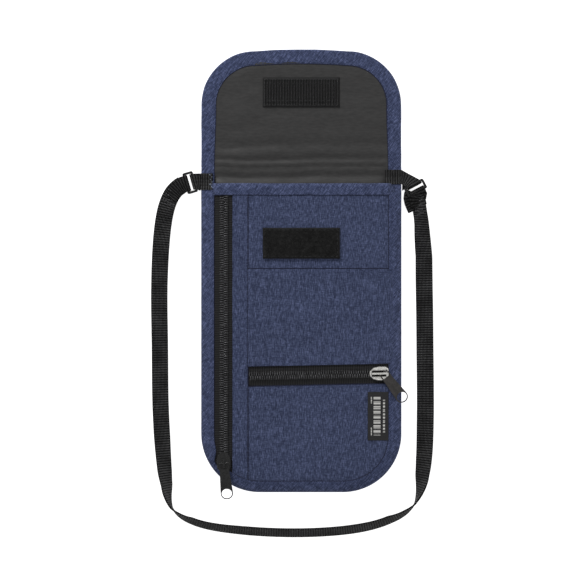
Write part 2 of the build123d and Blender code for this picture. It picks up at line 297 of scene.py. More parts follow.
def lining_cloth():
    """Calendered polyester taffeta: fine tight weave, charcoal, with a dull silky gloss."""
    material, tree, shader = new_material("polyester_taffeta_lining")
    place = add_node(tree, "ShaderNodeTexCoord")
    streaks = add_node(
        tree, "ShaderNodeMapping",
        {"Vector": place.outputs["Object"], "Scale": (1 / 0.004, 1 / 0.0012, 1 / 0.01)},
    )
    noise = add_node(
        tree, "ShaderNodeTexNoise", {"Vector": streaks.outputs[0], "Scale": 1.0, "Detail": 3.0}
    )
    tone = add_node(tree, "ShaderNodeValToRGB", {"Fac": noise.outputs[0]})
    tone.color_ramp.elements[0].position = 0.25
    tone.color_ramp.elements[0].color = linear("#2D2D2D")
    tone.color_ramp.elements[1].position = 0.75
    tone.color_ramp.elements[1].color = linear("#3D3C3C")
    link(tree, tone.outputs[0], shader.inputs["Base Color"])
    # Threads 0.25 mm apart, drawn at 0.5 mm so that they show.
    weave = add_node(
        tree,
        "ShaderNodeTexWave",
        {"Vector": place.outputs["Object"], "Scale": 1 / 0.0005 / 20 * 2 * math.pi},
        bands_direction="DIAGONAL",
    )
    bump = add_node(
        tree, "ShaderNodeBump", {"Height": weave.outputs["Fac"], "Strength": 0.18, "Distance": 0.0001}
    )
    link(tree, bump.outputs[0], shader.inputs["Normal"])
    shader.inputs["Roughness"].default_value = 0.52
    shader.inputs["Sheen Weight"].default_value = 0.15
    return material


def webbing_material(name, dark, light, rib=0.0016):
    """Woven polypropylene webbing: crosswise ribs between two firm selvedges, slightly waxy, and
    rubbed paler in places. The ribs are really about 1 mm apart, drawn at 1.6 mm so that they show.
    The underside, which the UV holds 50 mm further across, is painted darker as shade."""
    material, tree, shader = new_material(name)
    place = add_node(tree, "ShaderNodeUVMap", uv_map="surface")
    ribs = add_node(
        tree,
        "ShaderNodeTexWave",
        {"Vector": place.outputs[0], "Scale": 1 / rib / 20 * 2 * math.pi, "Distortion": 0.4},
        bands_direction="X",
    )
    yarns = add_node(
        tree,
        "ShaderNodeTexWave",
        {"Vector": place.outputs[0], "Scale": 1 / 0.0009 / 20 * 2 * math.pi, "Distortion": 0.8},
        bands_direction="Y",
    )
    height = add_node(
        tree, "ShaderNodeMath", {0: ribs.outputs["Fac"], 1: yarns.outputs["Fac"]}, operation="MULTIPLY"
    )
    tone = add_node(tree, "ShaderNodeValToRGB", {"Fac": height.outputs[0]})
    tone.color_ramp.elements[0].position = 0.06
    tone.color_ramp.elements[0].color = linear(dark)
    tone.color_ramp.elements[1].position = 0.46
    tone.color_ramp.elements[1].color = linear(light)
    rubbed = add_node(
        tree, "ShaderNodeTexNoise", {"Vector": place.outputs[0], "Scale": 1 / 0.011, "Detail": 3.0}
    )
    amount = add_node(
        tree,
        "ShaderNodeMapRange",
        {"Value": rubbed.outputs[0], "From Min": 0.3, "From Max": 0.7, "To Min": 0.55, "To Max": 1.5},
    )
    across = add_node(tree, "ShaderNodeSeparateXYZ", {"Vector": place.outputs[0]})
    # Painted shade: the underside is coloured at 0.6 of its brightness, as the face turned away from the
    # light.
    underside = add_node(
        tree,
        "ShaderNodeMapRange",
        {"Value": across.outputs["Y"], "From Min": 0.02, "From Max": 0.03, "To Min": 1.0, "To Max": 0.6},
    )
    rubbed_and_painted_shade = add_node(
        tree, "ShaderNodeMath", {0: amount.outputs[0], 1: underside.outputs[0]}, operation="MULTIPLY"
    )
    shaded = add_node(
        tree,
        "ShaderNodeMix",
        {"Factor": 1.0, "A": tone.outputs[0], "B": rubbed_and_painted_shade.outputs[0]},
        data_type="RGBA",
        blend_type="MULTIPLY",
    )
    link(tree, shaded.outputs["Result"], shader.inputs["Base Color"])
    bump = add_node(
        tree, "ShaderNodeBump", {"Height": height.outputs[0], "Strength": 1.0, "Distance": 0.0006}
    )
    link(tree, bump.outputs[0], shader.inputs["Normal"])
    shader.inputs["Roughness"].default_value = 0.8
    shader.inputs["Specular IOR Level"].default_value = 0.12
    return material


def zip_tape_material():
    """Knitted polyester zipper tape: black and dull, with fine lengthwise wales and crosswise courses.
    The courses are really about 0.7 mm apart, drawn at 1.5 mm so that they show."""
    material, tree, shader = new_material("knitted_zip_tape")
    place = add_node(tree, "ShaderNodeUVMap", uv_map="surface")
    wales = add_node(
        tree,
        "ShaderNodeTexWave",
        {"Vector": place.outputs[0], "Scale": 1 / 0.0009 / 20 * 2 * math.pi, "Distortion": 0.5},
        bands_direction="Y",
    )
    courses = add_node(
        tree,
        "ShaderNodeTexWave",
        {"Vector": place.outputs[0], "Scale": 1 / 0.0015 / 20 * 2 * math.pi, "Distortion": 0.5},
        bands_direction="X",
    )
    height = add_node(
        tree, "ShaderNodeMath", {0: wales.outputs["Fac"], 1: courses.outputs["Fac"]}, operation="ADD"
    )
    tone = add_node(tree, "ShaderNodeValToRGB", {"Fac": courses.outputs["Fac"]})
    tone.color_ramp.elements[0].color = linear("#060607")
    tone.color_ramp.elements[1].color = linear("#2A2A2C")
    link(tree, tone.outputs[0], shader.inputs["Base Color"])
    bump = add_node(
        tree, "ShaderNodeBump", {"Height": height.outputs[0], "Strength": 0.5, "Distance": 0.00025}
    )
    link(tree, bump.outputs[0], shader.inputs["Normal"])
    shader.inputs["Roughness"].default_value = 0.8
    return material


def speckled(name, dark, light, grain, roughness, metallic=0.0, bump_depth=0.00003, detail=3.0):
    """Moulded, cast or drawn surface with a fine grain in its colour, gloss and relief."""
    material, tree, shader = new_material(name)
    place = add_node(tree, "ShaderNodeTexCoord")
    noise = add_node(
        tree,
        "ShaderNodeTexNoise",
        {"Vector": place.outputs["Object"], "Scale": 1 / grain, "Detail": detail},
    )
    tone = add_node(tree, "ShaderNodeValToRGB", {"Fac": noise.outputs[0]})
    tone.color_ramp.elements[0].position = 0.3
    tone.color_ramp.elements[0].color = linear(dark)
    tone.color_ramp.elements[1].position = 0.7
    tone.color_ramp.elements[1].color = linear(light)
    link(tree, tone.outputs[0], shader.inputs["Base Color"])
    gloss = add_node(
        tree,
        "ShaderNodeMapRange",
        {"Value": noise.outputs[0], "To Min": roughness * 0.8, "To Max": roughness * 1.2},
    )
    link(tree, gloss.outputs[0], shader.inputs["Roughness"])
    bump = add_node(
        tree, "ShaderNodeBump", {"Height": noise.outputs[0], "Strength": 0.4, "Distance": bump_depth}
    )
    link(tree, bump.outputs[0], shader.inputs["Normal"])
    shader.inputs["Metallic"].default_value = metallic
    return material


def nickel_slider(x, y, turn):
    """Nickel plate, barrel polished and bright, with painted shade in the channel beside the crown."""
    material, tree, shader = new_material("barrel_polished_nickel")
    place = add_node(tree, "ShaderNodeTexCoord")
    local = add_node(
        tree,
        "ShaderNodeMapping",
        {"Vector": place.outputs["Object"], "Location": (x * MM, y * MM, 0), "Rotation": (0, 0, turn)},
        vector_type="TEXTURE",
    )
    # Painted shade: each side of the crown, below its top, the plate is coloured near black as the shadow
    # under the crown's edges.
    split = add_node(tree, "ShaderNodeSeparateXYZ", {"Vector": local.outputs[0]})
    off = add_node(tree, "ShaderNodeMath", {0: split.outputs["Y"]}, operation="ABSOLUTE")
    beside = add_node(
        tree,
        "ShaderNodeMapRange",
        {"Value": off.outputs[0], "From Min": 0.0017, "From Max": 0.0026, "To Min": 1.0, "To Max": 0.0},
    )
    ends = add_node(tree, "ShaderNodeMath", {0: split.outputs["X"]}, operation="ABSOLUTE")
    within = add_node(
        tree,
        "ShaderNodeMapRange",
        {"Value": ends.outputs[0], "From Min": 0.0044, "From Max": 0.0052, "To Min": 1.0, "To Max": 0.0},
    )
    low = add_node(tree, "ShaderNodeMath", {0: split.outputs["Z"], 1: 0.0112}, operation="LESS_THAN")
    channel = add_node(
        tree, "ShaderNodeMath", {0: beside.outputs[0], 1: within.outputs[0]}, operation="MULTIPLY"
    )
    painted_crown_shade = add_node(tree, "ShaderNodeMath", {0: channel.outputs[0], 1: low.outputs[0]}, operation="MULTIPLY")
    colour = add_node(
        tree,
        "ShaderNodeMix",
        {"Factor": painted_crown_shade.outputs[0], "A": linear("#E2E1DD"), "B": linear("#141413")},
        data_type="RGBA",
    )
    link(tree, colour.outputs["Result"], shader.inputs["Base Color"])
    marks = add_node(
        tree, "ShaderNodeTexNoise", {"Vector": place.outputs["Object"], "Scale": 1 / 0.0012, "Detail": 3.0}
    )
    gloss = add_node(
        tree, "ShaderNodeMapRange", {"Value": marks.outputs[0], "To Min": 0.14, "To Max": 0.34}
    )
    link(tree, gloss.outputs[0], shader.inputs["Roughness"])
    bump = add_node(
        tree, "ShaderNodeBump", {"Height": marks.outputs[0], "Strength": 0.4, "Distance": 0.00003}
    )
    link(tree, bump.outputs[0], shader.inputs["Normal"])
    shader.inputs["Metallic"].default_value = 1.0
    return material


def label_material(low, high):
    """Damask label: black satin ground with rows of short pale woven bars, no lettering."""
    material, tree, shader = new_material("woven_damask_label")
    place = add_node(tree, "ShaderNodeTexCoord")
    width, length = high[0] - low[0], high[1] - low[1]
    local = add_node(
        tree,
        "ShaderNodeMapping",
        {
            "Vector": place.outputs["Object"],
            "Location": (-low[0] / width, -low[1] / length, 0),
            "Scale": (1 / width, 1 / length, 1),
        },
    )
    split = add_node(tree, "ShaderNodeSeparateXYZ", {"Vector": local.outputs[0]})

    def within(value, start, end):
        above = add_node(tree, "ShaderNodeMath", {0: value, 1: start}, operation="GREATER_THAN")
        below = add_node(tree, "ShaderNodeMath", {0: value, 1: end}, operation="LESS_THAN")
        both = add_node(
            tree, "ShaderNodeMath", {0: above.outputs[0], 1: below.outputs[0]}, operation="MULTIPLY"
        )
        return both.outputs[0]

    shown = None
    for left, right, bottom, top, pitch in (
        (0.28, 0.62, 0.10, 0.90, 0.0031), (0.74, 0.84, 0.16, 0.84, 0.0024), (0.15, 0.20, 0.10, 0.90, 0.05)
    ):
        across = within(split.outputs["X"], left, right)
        rows = add_node(
            tree,
            "ShaderNodeTexWave",
            {"Vector": place.outputs["Object"], "Scale": 1 / pitch / 20 * 2 * math.pi, "Distortion": 0.0},
            bands_direction="Y",
        )
        row = add_node(tree, "ShaderNodeMath", {0: rows.outputs["Fac"], 1: 0.22}, operation="GREATER_THAN")
        length = add_node(
            tree,
            "ShaderNodeMath",
            {0: within(split.outputs["Y"], bottom, top), 1: row.outputs[0]},
            operation="MULTIPLY",
        )
        bar = add_node(tree, "ShaderNodeMath", {0: across, 1: length.outputs[0]}, operation="MULTIPLY")
        if shown is None:
            shown = bar
        else:
            shown = add_node(
                tree, "ShaderNodeMath", {0: shown.outputs[0], 1: bar.outputs[0]}, operation="MAXIMUM"
            )
    # Picks 0.3 mm apart, drawn at 0.9 mm so that the bars read as woven.
    picks = add_node(
        tree,
        "ShaderNodeTexWave",
        {"Vector": place.outputs["Object"], "Scale": 1 / 0.0018 / 20 * 2 * math.pi, "Distortion": 0.0},
        bands_direction="Y",
    )
    gap = add_node(
        tree, "ShaderNodeMapRange", {"Value": picks.outputs["Fac"], "To Min": 0.45, "To Max": 1.0}
    )
    amount = add_node(
        tree, "ShaderNodeMath", {0: shown.outputs[0], 1: gap.outputs[0]}, operation="MULTIPLY"
    )
    colour = add_node(
        tree,
        "ShaderNodeMix",
        {"Factor": amount.outputs[0], "A": linear("#222224"), "B": linear("#E4E3E0")},
        data_type="RGBA",
    )
    link(tree, colour.outputs["Result"], shader.inputs["Base Color"])
    bump = add_node(
        tree, "ShaderNodeBump", {"Height": picks.outputs["Fac"], "Strength": 0.4, "Distance": 0.0001}
    )
    link(tree, bump.outputs[0], shader.inputs["Normal"])
    shader.inputs["Roughness"].default_value = 0.6
    return material


CLOTH = heather_cloth("heather_polyester", math.radians(3), 0.0005, ("#272F4C", "#3C4666", "#6B769F"))
BIAS = heather_cloth("heather_bias_binding", math.radians(38), 0.0006, ("#262F4D", "#3D4769", "#6C77A2"))
LINING = lining_cloth()
WEBBING = webbing_material("ribbed_polypropylene_webbing", "#080808", "#5C5C5D")
TAPE = zip_tape_material()
# Polyester monofilament: smooth drawn wire, black with a wet-looking gloss; its turns are coloured mid grey,
# lighter than the black wire, as a painted highlight.
COIL_PAINTED_HIGHLIGHT = speckled("monofilament_coil_painted_highlight", "#38383A", "#69696C", 0.002, 0.26)
# Zinc alloy under black enamel: glossy, slightly orange-peeled.
BLACK_METAL = speckled("black_enamelled_zinc", "#19191A", "#2A2A2B", 0.0015, 0.28, 0.0)
# The same alloy lacquered: dull and grey-brown, so the pull reads paler than the black parts.
DULL_METAL = speckled("lacquered_zinc_pull", "#302E2D", "#454241", 0.0015, 0.42)
# Injection-moulded acetal: black, waxy semi-gloss from a spark-eroded mould.
ACETAL = speckled("moulded_black_acetal", "#171718", "#232324", 0.0004, 0.36)
# Nylon hook tape: stiff black monofilament on a ribbed ground.
HOOK = speckled("nylon_hook_tape", "#1E1E1F", "#484849", 0.0008, 0.55)
# Brushed nylon loop pile: deep black, matt and fuzzy.
# Plain woven nylon under the hooks: nearly black, so that the rows of hooks stand out from it.
HOOK_GROUND = speckled("woven_nylon_ground", "#0B0B0C", "#1B1B1C", 0.0008, 0.7)
LOOP = speckled("brushed_nylon_loop_pile", "#060606", "#2A2A2A", 0.0009, 0.95)
# Spun polyester sewing thread in navy, and in black.
NAVY_THREAD = speckled("navy_sewing_thread", "#303A60", "#5A668F", 0.0006, 0.7)
# The same thread sunk in a seam, coloured near black as painted shade: it draws the seam's shaded groove as a
# dark line.
PAINTED_SEAM_SHADE = speckled("painted_seam_shade_thread", "#10142A", "#232A48", 0.0006, 0.8)
BLACK_THREAD = speckled("black_sewing_thread", "#1A1A1B", "#333334", 0.0006, 0.6)
# Bonded nylon thread on the webbing, grey where it catches the light.
GREY_THREAD = speckled("bonded_nylon_thread", "#3A3A3C", "#77777A", 0.0007, 0.5)


# ------------------------------------------------------------------ repeats, built by geometry nodes
def set_input(modifier, group, name, value):
    for item in group.interface.items_tree:
        if item.item_type == "SOCKET" and item.in_out == "INPUT" and item.name == name:
            modifier[item.identifier] = value


def repeat_group(turned):
    """Node group that puts a copy of one piece on every point, or evenly along every edge line."""
    group = bpy.data.node_groups.new("repeat_along" if turned else "repeat_on_points", "GeometryNodeTree")
    face = group.interface
    face.new_socket("Geometry", in_out="INPUT", socket_type="NodeSocketGeometry")
    face.new_socket("Piece", in_out="INPUT", socket_type="NodeSocketObject")
    face.new_socket("Finish", in_out="INPUT", socket_type="NodeSocketMaterial")
    face.new_socket("Pitch", in_out="INPUT", socket_type="NodeSocketFloat")
    face.new_socket("Seed", in_out="INPUT", socket_type="NodeSocketInt")
    face.new_socket("Wobble", in_out="INPUT", socket_type="NodeSocketFloat")
    face.new_socket("Geometry", in_out="OUTPUT", socket_type="NodeSocketGeometry")
    given = add_node(group, "NodeGroupInput")
    piece = add_node(group, "GeometryNodeObjectInfo", {"Object": given.outputs["Piece"]})
    wobble = given.outputs["Wobble"]
    low = add_node(group, "ShaderNodeMath", {0: wobble, 1: -1.0}, operation="MULTIPLY")
    spread = add_node(
        group,
        "FunctionNodeRandomValue",
        {"Min": low.outputs[0], "Max": wobble, "Seed": given.outputs["Seed"]},
        data_type="FLOAT",
    )
    if turned:
        line = add_node(group, "GeometryNodeMeshToCurve", {"Mesh": given.outputs["Geometry"]})
        even = add_node(
            group,
            "GeometryNodeResampleCurve",
            {"Curve": line.outputs[0], "Length": given.outputs["Pitch"]},
            mode="LENGTH",
        )
        tangent = add_node(group, "GeometryNodeInputTangent")
        facing = add_node(
            group,
            "FunctionNodeAlignRotationToVector",
            {"Vector": tangent.outputs[0]},
            axis="X",
            pivot_axis="Z",
        )
        points, rotation = even.outputs[0], facing.outputs[0]
    else:
        points = given.outputs["Geometry"]
        rotation = None
    placed = add_node(
        group, "GeometryNodeInstanceOnPoints", {"Points": points, "Instance": piece.outputs["Geometry"]}
    )
    if rotation is not None:
        link(group, rotation, placed.inputs["Rotation"])
    twist = add_node(group, "ShaderNodeCombineXYZ", {"Z": spread.outputs["Value"]})
    turned_each = add_node(
        group, "GeometryNodeRotateInstances", {"Instances": placed.outputs[0], "Rotation": twist.outputs[0]}
    )
    real = add_node(group, "GeometryNodeRealizeInstances", {"Geometry": turned_each.outputs[0]})
    finished = add_node(
        group, "GeometryNodeSetMaterial", {"Geometry": real.outputs[0], "Material": given.outputs["Finish"]}
    )
    add_node(group, "NodeGroupOutput", {"Geometry": finished.outputs[0]})
    return group


ALONG = repeat_group(True)
ON_POINTS = repeat_group(False)


def repeated(name, group, points, lines, piece, material, pitch=1.0, seed=1, wobble=0.0):
    """Mesh of many small copies; lines are runs of point numbers that the copies follow."""
    edges = [(a, b) for run in lines for a, b in zip(run, run[1:])]
    carrier = mesh_object(name, points, [], edges=edges)
    modifier = carrier.modifiers.new("repeats", "NODES")
    modifier.node_group = group
    for key, value in (
        ("Piece", piece),
        ("Finish", material),
        ("Pitch", pitch * MM),
        ("Seed", seed),
        ("Wobble", wobble),
    ):
        set_input(modifier, group, key, value)
    apply_modifiers(carrier)
    carrier.data.materials.clear()
    return paint(carrier, material)


def bead(name, length, width, height, sides=8):
    """Small rounded rod along X, made once and repeated: a stitch, a coil turn or a hook's base."""
    rows = []
    for t, share in ((-1.0, 0.30), (-0.8, 0.75), (-0.3, 1.0), (0.3, 1.0), (0.8, 0.75), (1.0, 0.30)):
        ring_points = []
        for k in range(sides):
            a = 2 * math.pi * k / sides
            ring_points.append(
                (t * length / 2, math.cos(a) * width / 2 * share, math.sin(a) * height / 2 * share)
            )
        rows.append(ring_points)
    made = grid_object(name, rows, closed=True)
    return turn_outward(made, fill_holes=True)


SPARE = []


def spare(piece):
    """Keep a piece that is only copied from out of sight until it is removed."""
    SPARE.append(piece)
    piece.hide_render = True
    return piece


# Wide bead for the dark seam lines: painted shade along the seams' grooves.
SEAM_SHADE_BEAD = spare(bead("seam_stitch_pattern", 2.1, 0.78, 0.42, 6))
STITCH = spare(bead("stitch_pattern", 2.1, 0.42, 0.30))
FINE_STITCH = spare(bead("fine_stitch_pattern", 1.5, 0.34, 0.24, 6))


def stitched(name, lines, material, pitch=STITCH_PITCH, piece=STITCH):
    """Rows of stitches along lines of points."""
    points, runs = [], []
    for line in lines:
        runs.append(list(range(len(points), len(points) + len(line))))
        points += list(line)
    return repeated(name, ALONG, points, runs, piece, material, pitch)


# ------------------------------------------------------------------ the pouch's soft form
def outline_half(y, side, end):
    """Half width of the pouch's body at height y, for an outline moved in by side and end."""
    half, low = HALF_WIDTH - side, BOTTOM + end
    radius = BOTTOM_RADIUS - (side + end) / 2
    drop = np.clip(low + radius - np.asarray(y, float), 0, radius)
    return half - radius + np.sqrt(np.maximum(radius**2 - drop**2, 0))


def inside_body(x, y):
    """Distance in from the body's edge; the mouth doesn't count as an edge."""
    x, y = np.abs(np.asarray(x, float)), np.asarray(y, float)
    cx, cy = HALF_WIDTH - BOTTOM_RADIUS, BOTTOM + BOTTOM_RADIUS
    corner = BOTTOM_RADIUS - np.hypot(np.maximum(x - cx, 0), np.maximum(cy - y, 0))
    straight = np.minimum(HALF_WIDTH - x, y - BOTTOM)
    return np.where((x > cx) & (y < cy), corner, straight)


def flap_half(y, inset):
    """Half width of the flap at height y, for an outline moved in by inset."""
    half, top = HALF_WIDTH - inset, FLAP_TOP - inset - FLAP_CROWN * 0.55
    radius = FLAP_RADIUS - inset
    rise = np.clip(np.asarray(y, float) - (top - radius), 0, radius)
    return half - radius + np.sqrt(np.maximum(radius**2 - rise**2, 0))


def inside_flap(x, y):
    x, y = np.abs(np.asarray(x, float)), np.asarray(y, float)
    top = FLAP_TOP - FLAP_CROWN * (x / HALF_WIDTH) ** 2
    cx, cy = HALF_WIDTH - FLAP_RADIUS, FLAP_TOP - FLAP_CROWN * 0.55 - FLAP_RADIUS
    corner = FLAP_RADIUS - np.hypot(np.maximum(x - cx, 0), np.maximum(y - cy, 0))
    straight = np.minimum(HALF_WIDTH - x, top - y)
    return np.where((x > cx) & (y > cy), corner, straight)


def front_z(x, y):
    """Height of the front cloth: full in the middle, rolling down to the bound edge."""
    x, y = np.asarray(x, float), np.asarray(y, float)
    d = np.clip(inside_body(x, y), 0, None)
    roll = 3.0 * np.clip(1 - d / 13.0, 0, 1) ** 2
    waves = 0.22 * ripple(x, y, 34.0, 3) + 0.10 * ripple(x, y, 13.0, 4) + 0.05 * ripple(x, y, 6.0, 5)
    near_zip = np.exp(-(((x - SIDE_ZIP_X) / 9.0) ** 2)) * (y < 95)
    right, up = x - LOWER_ZIP_START[0], y - LOWER_ZIP_START[1]
    along = right * math.cos(LOWER_ZIP_TILT) + up * math.sin(LOWER_ZIP_TILT)
    over = np.abs(y - LOWER_ZIP_START[1] - math.tan(LOWER_ZIP_TILT) * (x - LOWER_ZIP_START[0]))
    near_lower = np.exp(-((over / 9.0) ** 2)) * (along > -1)
    calm = 1 - np.clip(np.maximum(near_zip, near_lower), 0, 0.85)
    return 8.45 - roll + waves * calm


CREASES = [(125.6, 3.2, 0.95), (116.2, 1.9, 0.90), (110.9, 1.7, 0.60), (104.6, 2.6, 1.25), (137.0, 3.0, 0.20)]


def lining_z(x, y):
    """Height of the light lining at the back of the mouth and on the flap: soft crosswise creases."""
    x, y = np.asarray(x, float), np.asarray(y, float)
    wave = y + 1.1 * ripple(x, 0 * y, 26.0, 8) + 0.5 * ripple(x, 0 * y, 9.0, 9)
    z = 2.75 + 1.3 * (1 - smooth(99.0, 108.0, y)) * smooth(0, 14, HALF_WIDTH - np.abs(x))
    for place, width, depth in CREASES:
        reach = 0.55 + 0.45 * np.abs(x) / HALF_WIDTH if place > 120 else 1.0
        z = z - depth * reach * np.exp(-(((wave - place) / width) ** 2))
    # Lower where the side slider lies under the closed flap.
    z = z - 0.8 * np.exp(-(((x - SIDE_ZIP_X) / 9.0) ** 2)) * smooth(116.0, 124.0, y)
    edge = smooth(0.0, 9.0, inside_flap(x, y) - 5.0)
    folds = 0.22 * ripple(x / 2.2, y, 6.0, 10) + 0.25 * ripple(x, y, 22.0, 11)
    return np.maximum(2.0 + (z - 2.0) * (0.25 + 0.75 * edge) + folds * edge, 1.8)


def sheet_between(name, left, right, bottom, top, height, columns, rows_count):
    """Grid whose sides follow left(y), right(y) and whose ends follow bottom(x), top(x)."""
    rows = []
    for j in range(rows_count + 1):
        v = j / rows_count
        row = []
        for i in range(columns + 1):
            u = i / columns
            y = bottom(0) + (top(0) - bottom(0)) * v
            for _ in range(3):
                x = left(y) + (right(y) - left(y)) * u
                y = bottom(x) + (top(x) - bottom(x)) * v
            row.append((x, y, 0.0))
        rows.append(row)
    rows = np.array(rows)
    rows[..., 2] = height(rows[..., 0], rows[..., 1])
    return grid_object(name, rows, uv_rows=rows[..., :2] * MM)


def constant(value):
    return lambda _: value


def body_right(inset, end):
    return lambda y: float(outline_half(y, inset, end))


def body_left(inset, end):
    return lambda y: -float(outline_half(y, inset, end))


def zip_line(x):
    return LOWER_ZIP_START[1] + math.tan(LOWER_ZIP_TILT) * (x - LOWER_ZIP_START[0])


HIDDEN = 4.6

# ------------------------------------------------------------------ camera and light
cam_data = bpy.data.cameras.new("straight_down")
cam_data.sensor_width = 36.0
cam_data.lens = 151.2
camera = bpy.data.objects.new("straight_down", cam_data)
camera.location = (-0.0057, 0.0296, 1.6)
bpy.context.scene.collection.objects.link(camera)
bpy.context.scene.camera = camera


def area_light(name, place, aim, size, power):
    data = bpy.data.lights.new(name, "AREA")
    data.shape = "DISK"
    data.size = size
    data.energy = power
    lamp = bpy.data.objects.new(name, data)
    lamp.location = place
    lamp.rotation_mode = "QUATERNION"
    lamp.rotation_quaternion = (Vector(aim) - Vector(place)).to_track_quat("-Z", "Y")
    bpy.context.scene.collection.objects.link(lamp)


area_light("key", (-0.55, 1.05, 0.75), (0, 0.03, 0), 0.25, 8.5)
area_light("fill", (0.9, -0.4, 0.8), (0, 0.03, 0), 0.9, 2.0)
area_light("card_above_the_slider", (0.11, -0.075, 1.6), (0.05, -0.023, 0), 0.26, 0.16)
world = bpy.data.worlds.new("studio")
world.use_nodes = True
bpy.context.scene.world = world
world.node_tree.nodes["Background"].inputs["Color"].default_value = (1, 1, 1, 1)
world.node_tree.nodes["Background"].inputs["Strength"].default_value = 0.32
bpy.context.scene.view_settings.view_transform = "Standard"
bpy.context.scene.view_settings.look = "None"

FLOOR = 6000
floor = mesh_object(
    "floor", [(-FLOOR, -FLOOR, 0), (FLOOR, -FLOOR, 0), (FLOOR, FLOOR, 0), (-FLOOR, FLOOR, 0)], [(0, 1, 2, 3)]
)
floor.location.z = -0.0003
floor_material, _, floor_shader = new_material("white_sweep_paper")
floor_shader.inputs["Base Color"].default_value = (0.95, 0.95, 0.95, 1)
floor_shader.inputs["Roughness"].default_value = 0.9
floor_shader.inputs["Emission Color"].default_value = (1, 1, 1, 1)
floor_shader.inputs["Emission Strength"].default_value = 0.9
floor.data.materials.append(floor_material)

# ------------------------------------------------------------------ the neck strap
LOW, LEANING = 0.55, 2.6
ROUTE = [
    (-77.2, 99.6, 4.0),
    (-81.6, 97.0, 3.5),
    (-86.2, 89.9, 2.2),
    (-89.4, 79.2, 1.1),
    (-91.5, 60.0, LOW + 0.1),
    (-92.5, 30.0, LOW),
    (-92.3, -5.0, LOW),
    (-91.5, -40.0, LOW),
    (-90.3, -70.0, LOW),
    (-88.5, -92.0, 1.1),
    (-84.8, -106.2, 2.4),
    (-77.2, -115.4, 3.2),
    (-65.8, -120.6, 3.1),
    (-48.0, -124.0, LEANING),
    (-22.0, -126.3, LEANING),
    (8.0, -126.4, LEANING),
    (34.0, -124.3, LEANING),
    (54.0, -119.8, 3.1),
    (67.2, -112.4, 3.2),
    (75.6, -100.6, 2.4),
    (79.9, -83.0, 1.1),
    (81.1, -55.0, LOW),
    (80.8, -22.0, LOW),
    (80.3, 12.0, LOW),
    (79.7, 44.0, LOW + 0.1),
    (79.5, 66.0, 1.1),
    (79.9, 79.6, 2.2),
    (79.1, 88.1, 3.4),
    (76.7, 92.9, 4.0),
]
curve_data = bpy.data.curves.new("strap_line", "CURVE")
curve_data.dimensions = "3D"
spline = curve_data.splines.new("NURBS")
spline.points.add(len(ROUTE) - 1)
for point, place in zip(spline.points, ROUTE):
    point.co = (*(c * MM for c in place), 1.0)
spline.order_u = 3
spline.use_endpoint_u = True
spline.resolution_u = 14
strap_line = new_object("strap_line", curve_data)
line_mesh = bpy.data.meshes.new_from_object(strap_line.evaluated_get(bpy.context.evaluated_depsgraph_get()))
LINE = np.array([v.co for v in line_mesh.vertices]) / MM
bpy.data.objects.remove(strap_line)
bpy.data.meshes.remove(line_mesh)


def lean_at(share):
    """How far the strap leans from flat, in degrees, by its share of the way round. It turns over at
    both lower corners, where it passes 90, and shows its other face along the bottom."""
    stops = [(0, 0), (0.05, 8), (0.12, 20), (0.29, 22), (0.33, 38), (0.35, 58), (0.36, 74), (0.37, 90),
             (0.38, 104), (0.395, 116), (0.46, 123), (0.58, 124), (0.62, 121), (0.64, 108), (0.655, 90),
             (0.665, 72), (0.68, 44), (0.70, 26), (0.74, 8), (0.90, 4), (0.94, 18), (0.965, 34), (0.985, 40),
             (1.0, 24)]
    where, value = zip(*stops)
    return np.interp(share, where, value)


def ribbon_frames(line):
    """Distance along, sideways and upward directions at each point of a line."""
    ahead = np.gradient(line, axis=0)
    ahead /= np.linalg.norm(ahead, axis=1)[:, None]
    sideways = np.cross(ahead, (0, 0, 1.0))
    sideways /= np.linalg.norm(sideways, axis=1)[:, None]
    upward = np.cross(sideways, ahead)
    along = np.concatenate([[0], np.cumsum(np.linalg.norm(np.diff(line, axis=0), axis=1))])
    return along, sideways, upward


def webbing_section(width, thickness, steps=10):
    """Closed section of a flat band with rounded selvedges, as (across, up) pairs."""
    half, t = width / 2, thickness / 2
    top = [(half * (1 - 2 * k / steps), t) for k in range(steps + 1)]
    top[0], top[-1] = (half - t * 0.6, t), (-half + t * 0.6, t)
    left = [(-half, t * 0.4), (-half, -t * 0.4)]
    bottom = [(-x, -t) for x, _ in top]
    right = [(half, -t * 0.4), (half, t * 0.4)]
    return top + left + bottom + right


def sweep_band(name, centre, sideways, upward, width, thickness):
    """Band of webbing along a line, with UV running along it and across it."""
    section = webbing_section(width, thickness)
    along = np.concatenate([[0], np.cumsum(np.linalg.norm(np.diff(centre, axis=0), axis=1))])
    rows, uvs = [], []
    for p, s, u, a in zip(centre, sideways, upward, along):
        rows.append([p + s * across + u * up for across, up in section])
        # The underside's UV is moved 50 mm across, where the webbing material paints it darker as shade.
        uvs.append([(a * MM, across * MM + (0.05 if up < 0 else 0.0)) for across, up in section])
    made = grid_object(name, rows, uvs, closed=True)
    count = len(section)
    shape = bmesh.new()
    shape.from_mesh(made.data)
    shape.verts.ensure_lookup_table()
    shape.faces.new([shape.verts[k] for k in range(count)])
    shape.faces.new([shape.verts[k] for k in range(len(rows) * count - count, len(rows) * count)])
    bmesh.ops.recalc_face_normals(shape, faces=shape.faces)
    shape.to_mesh(made.data)
    shape.free()
    made.data.set_sharp_from_angle(angle=math.radians(50))
    return made


strap_along, strap_side, strap_up = ribbon_frames(LINE)
strap_length = float(strap_along[-1])
lean = np.radians(lean_at(strap_along / strap_length))[:, None]
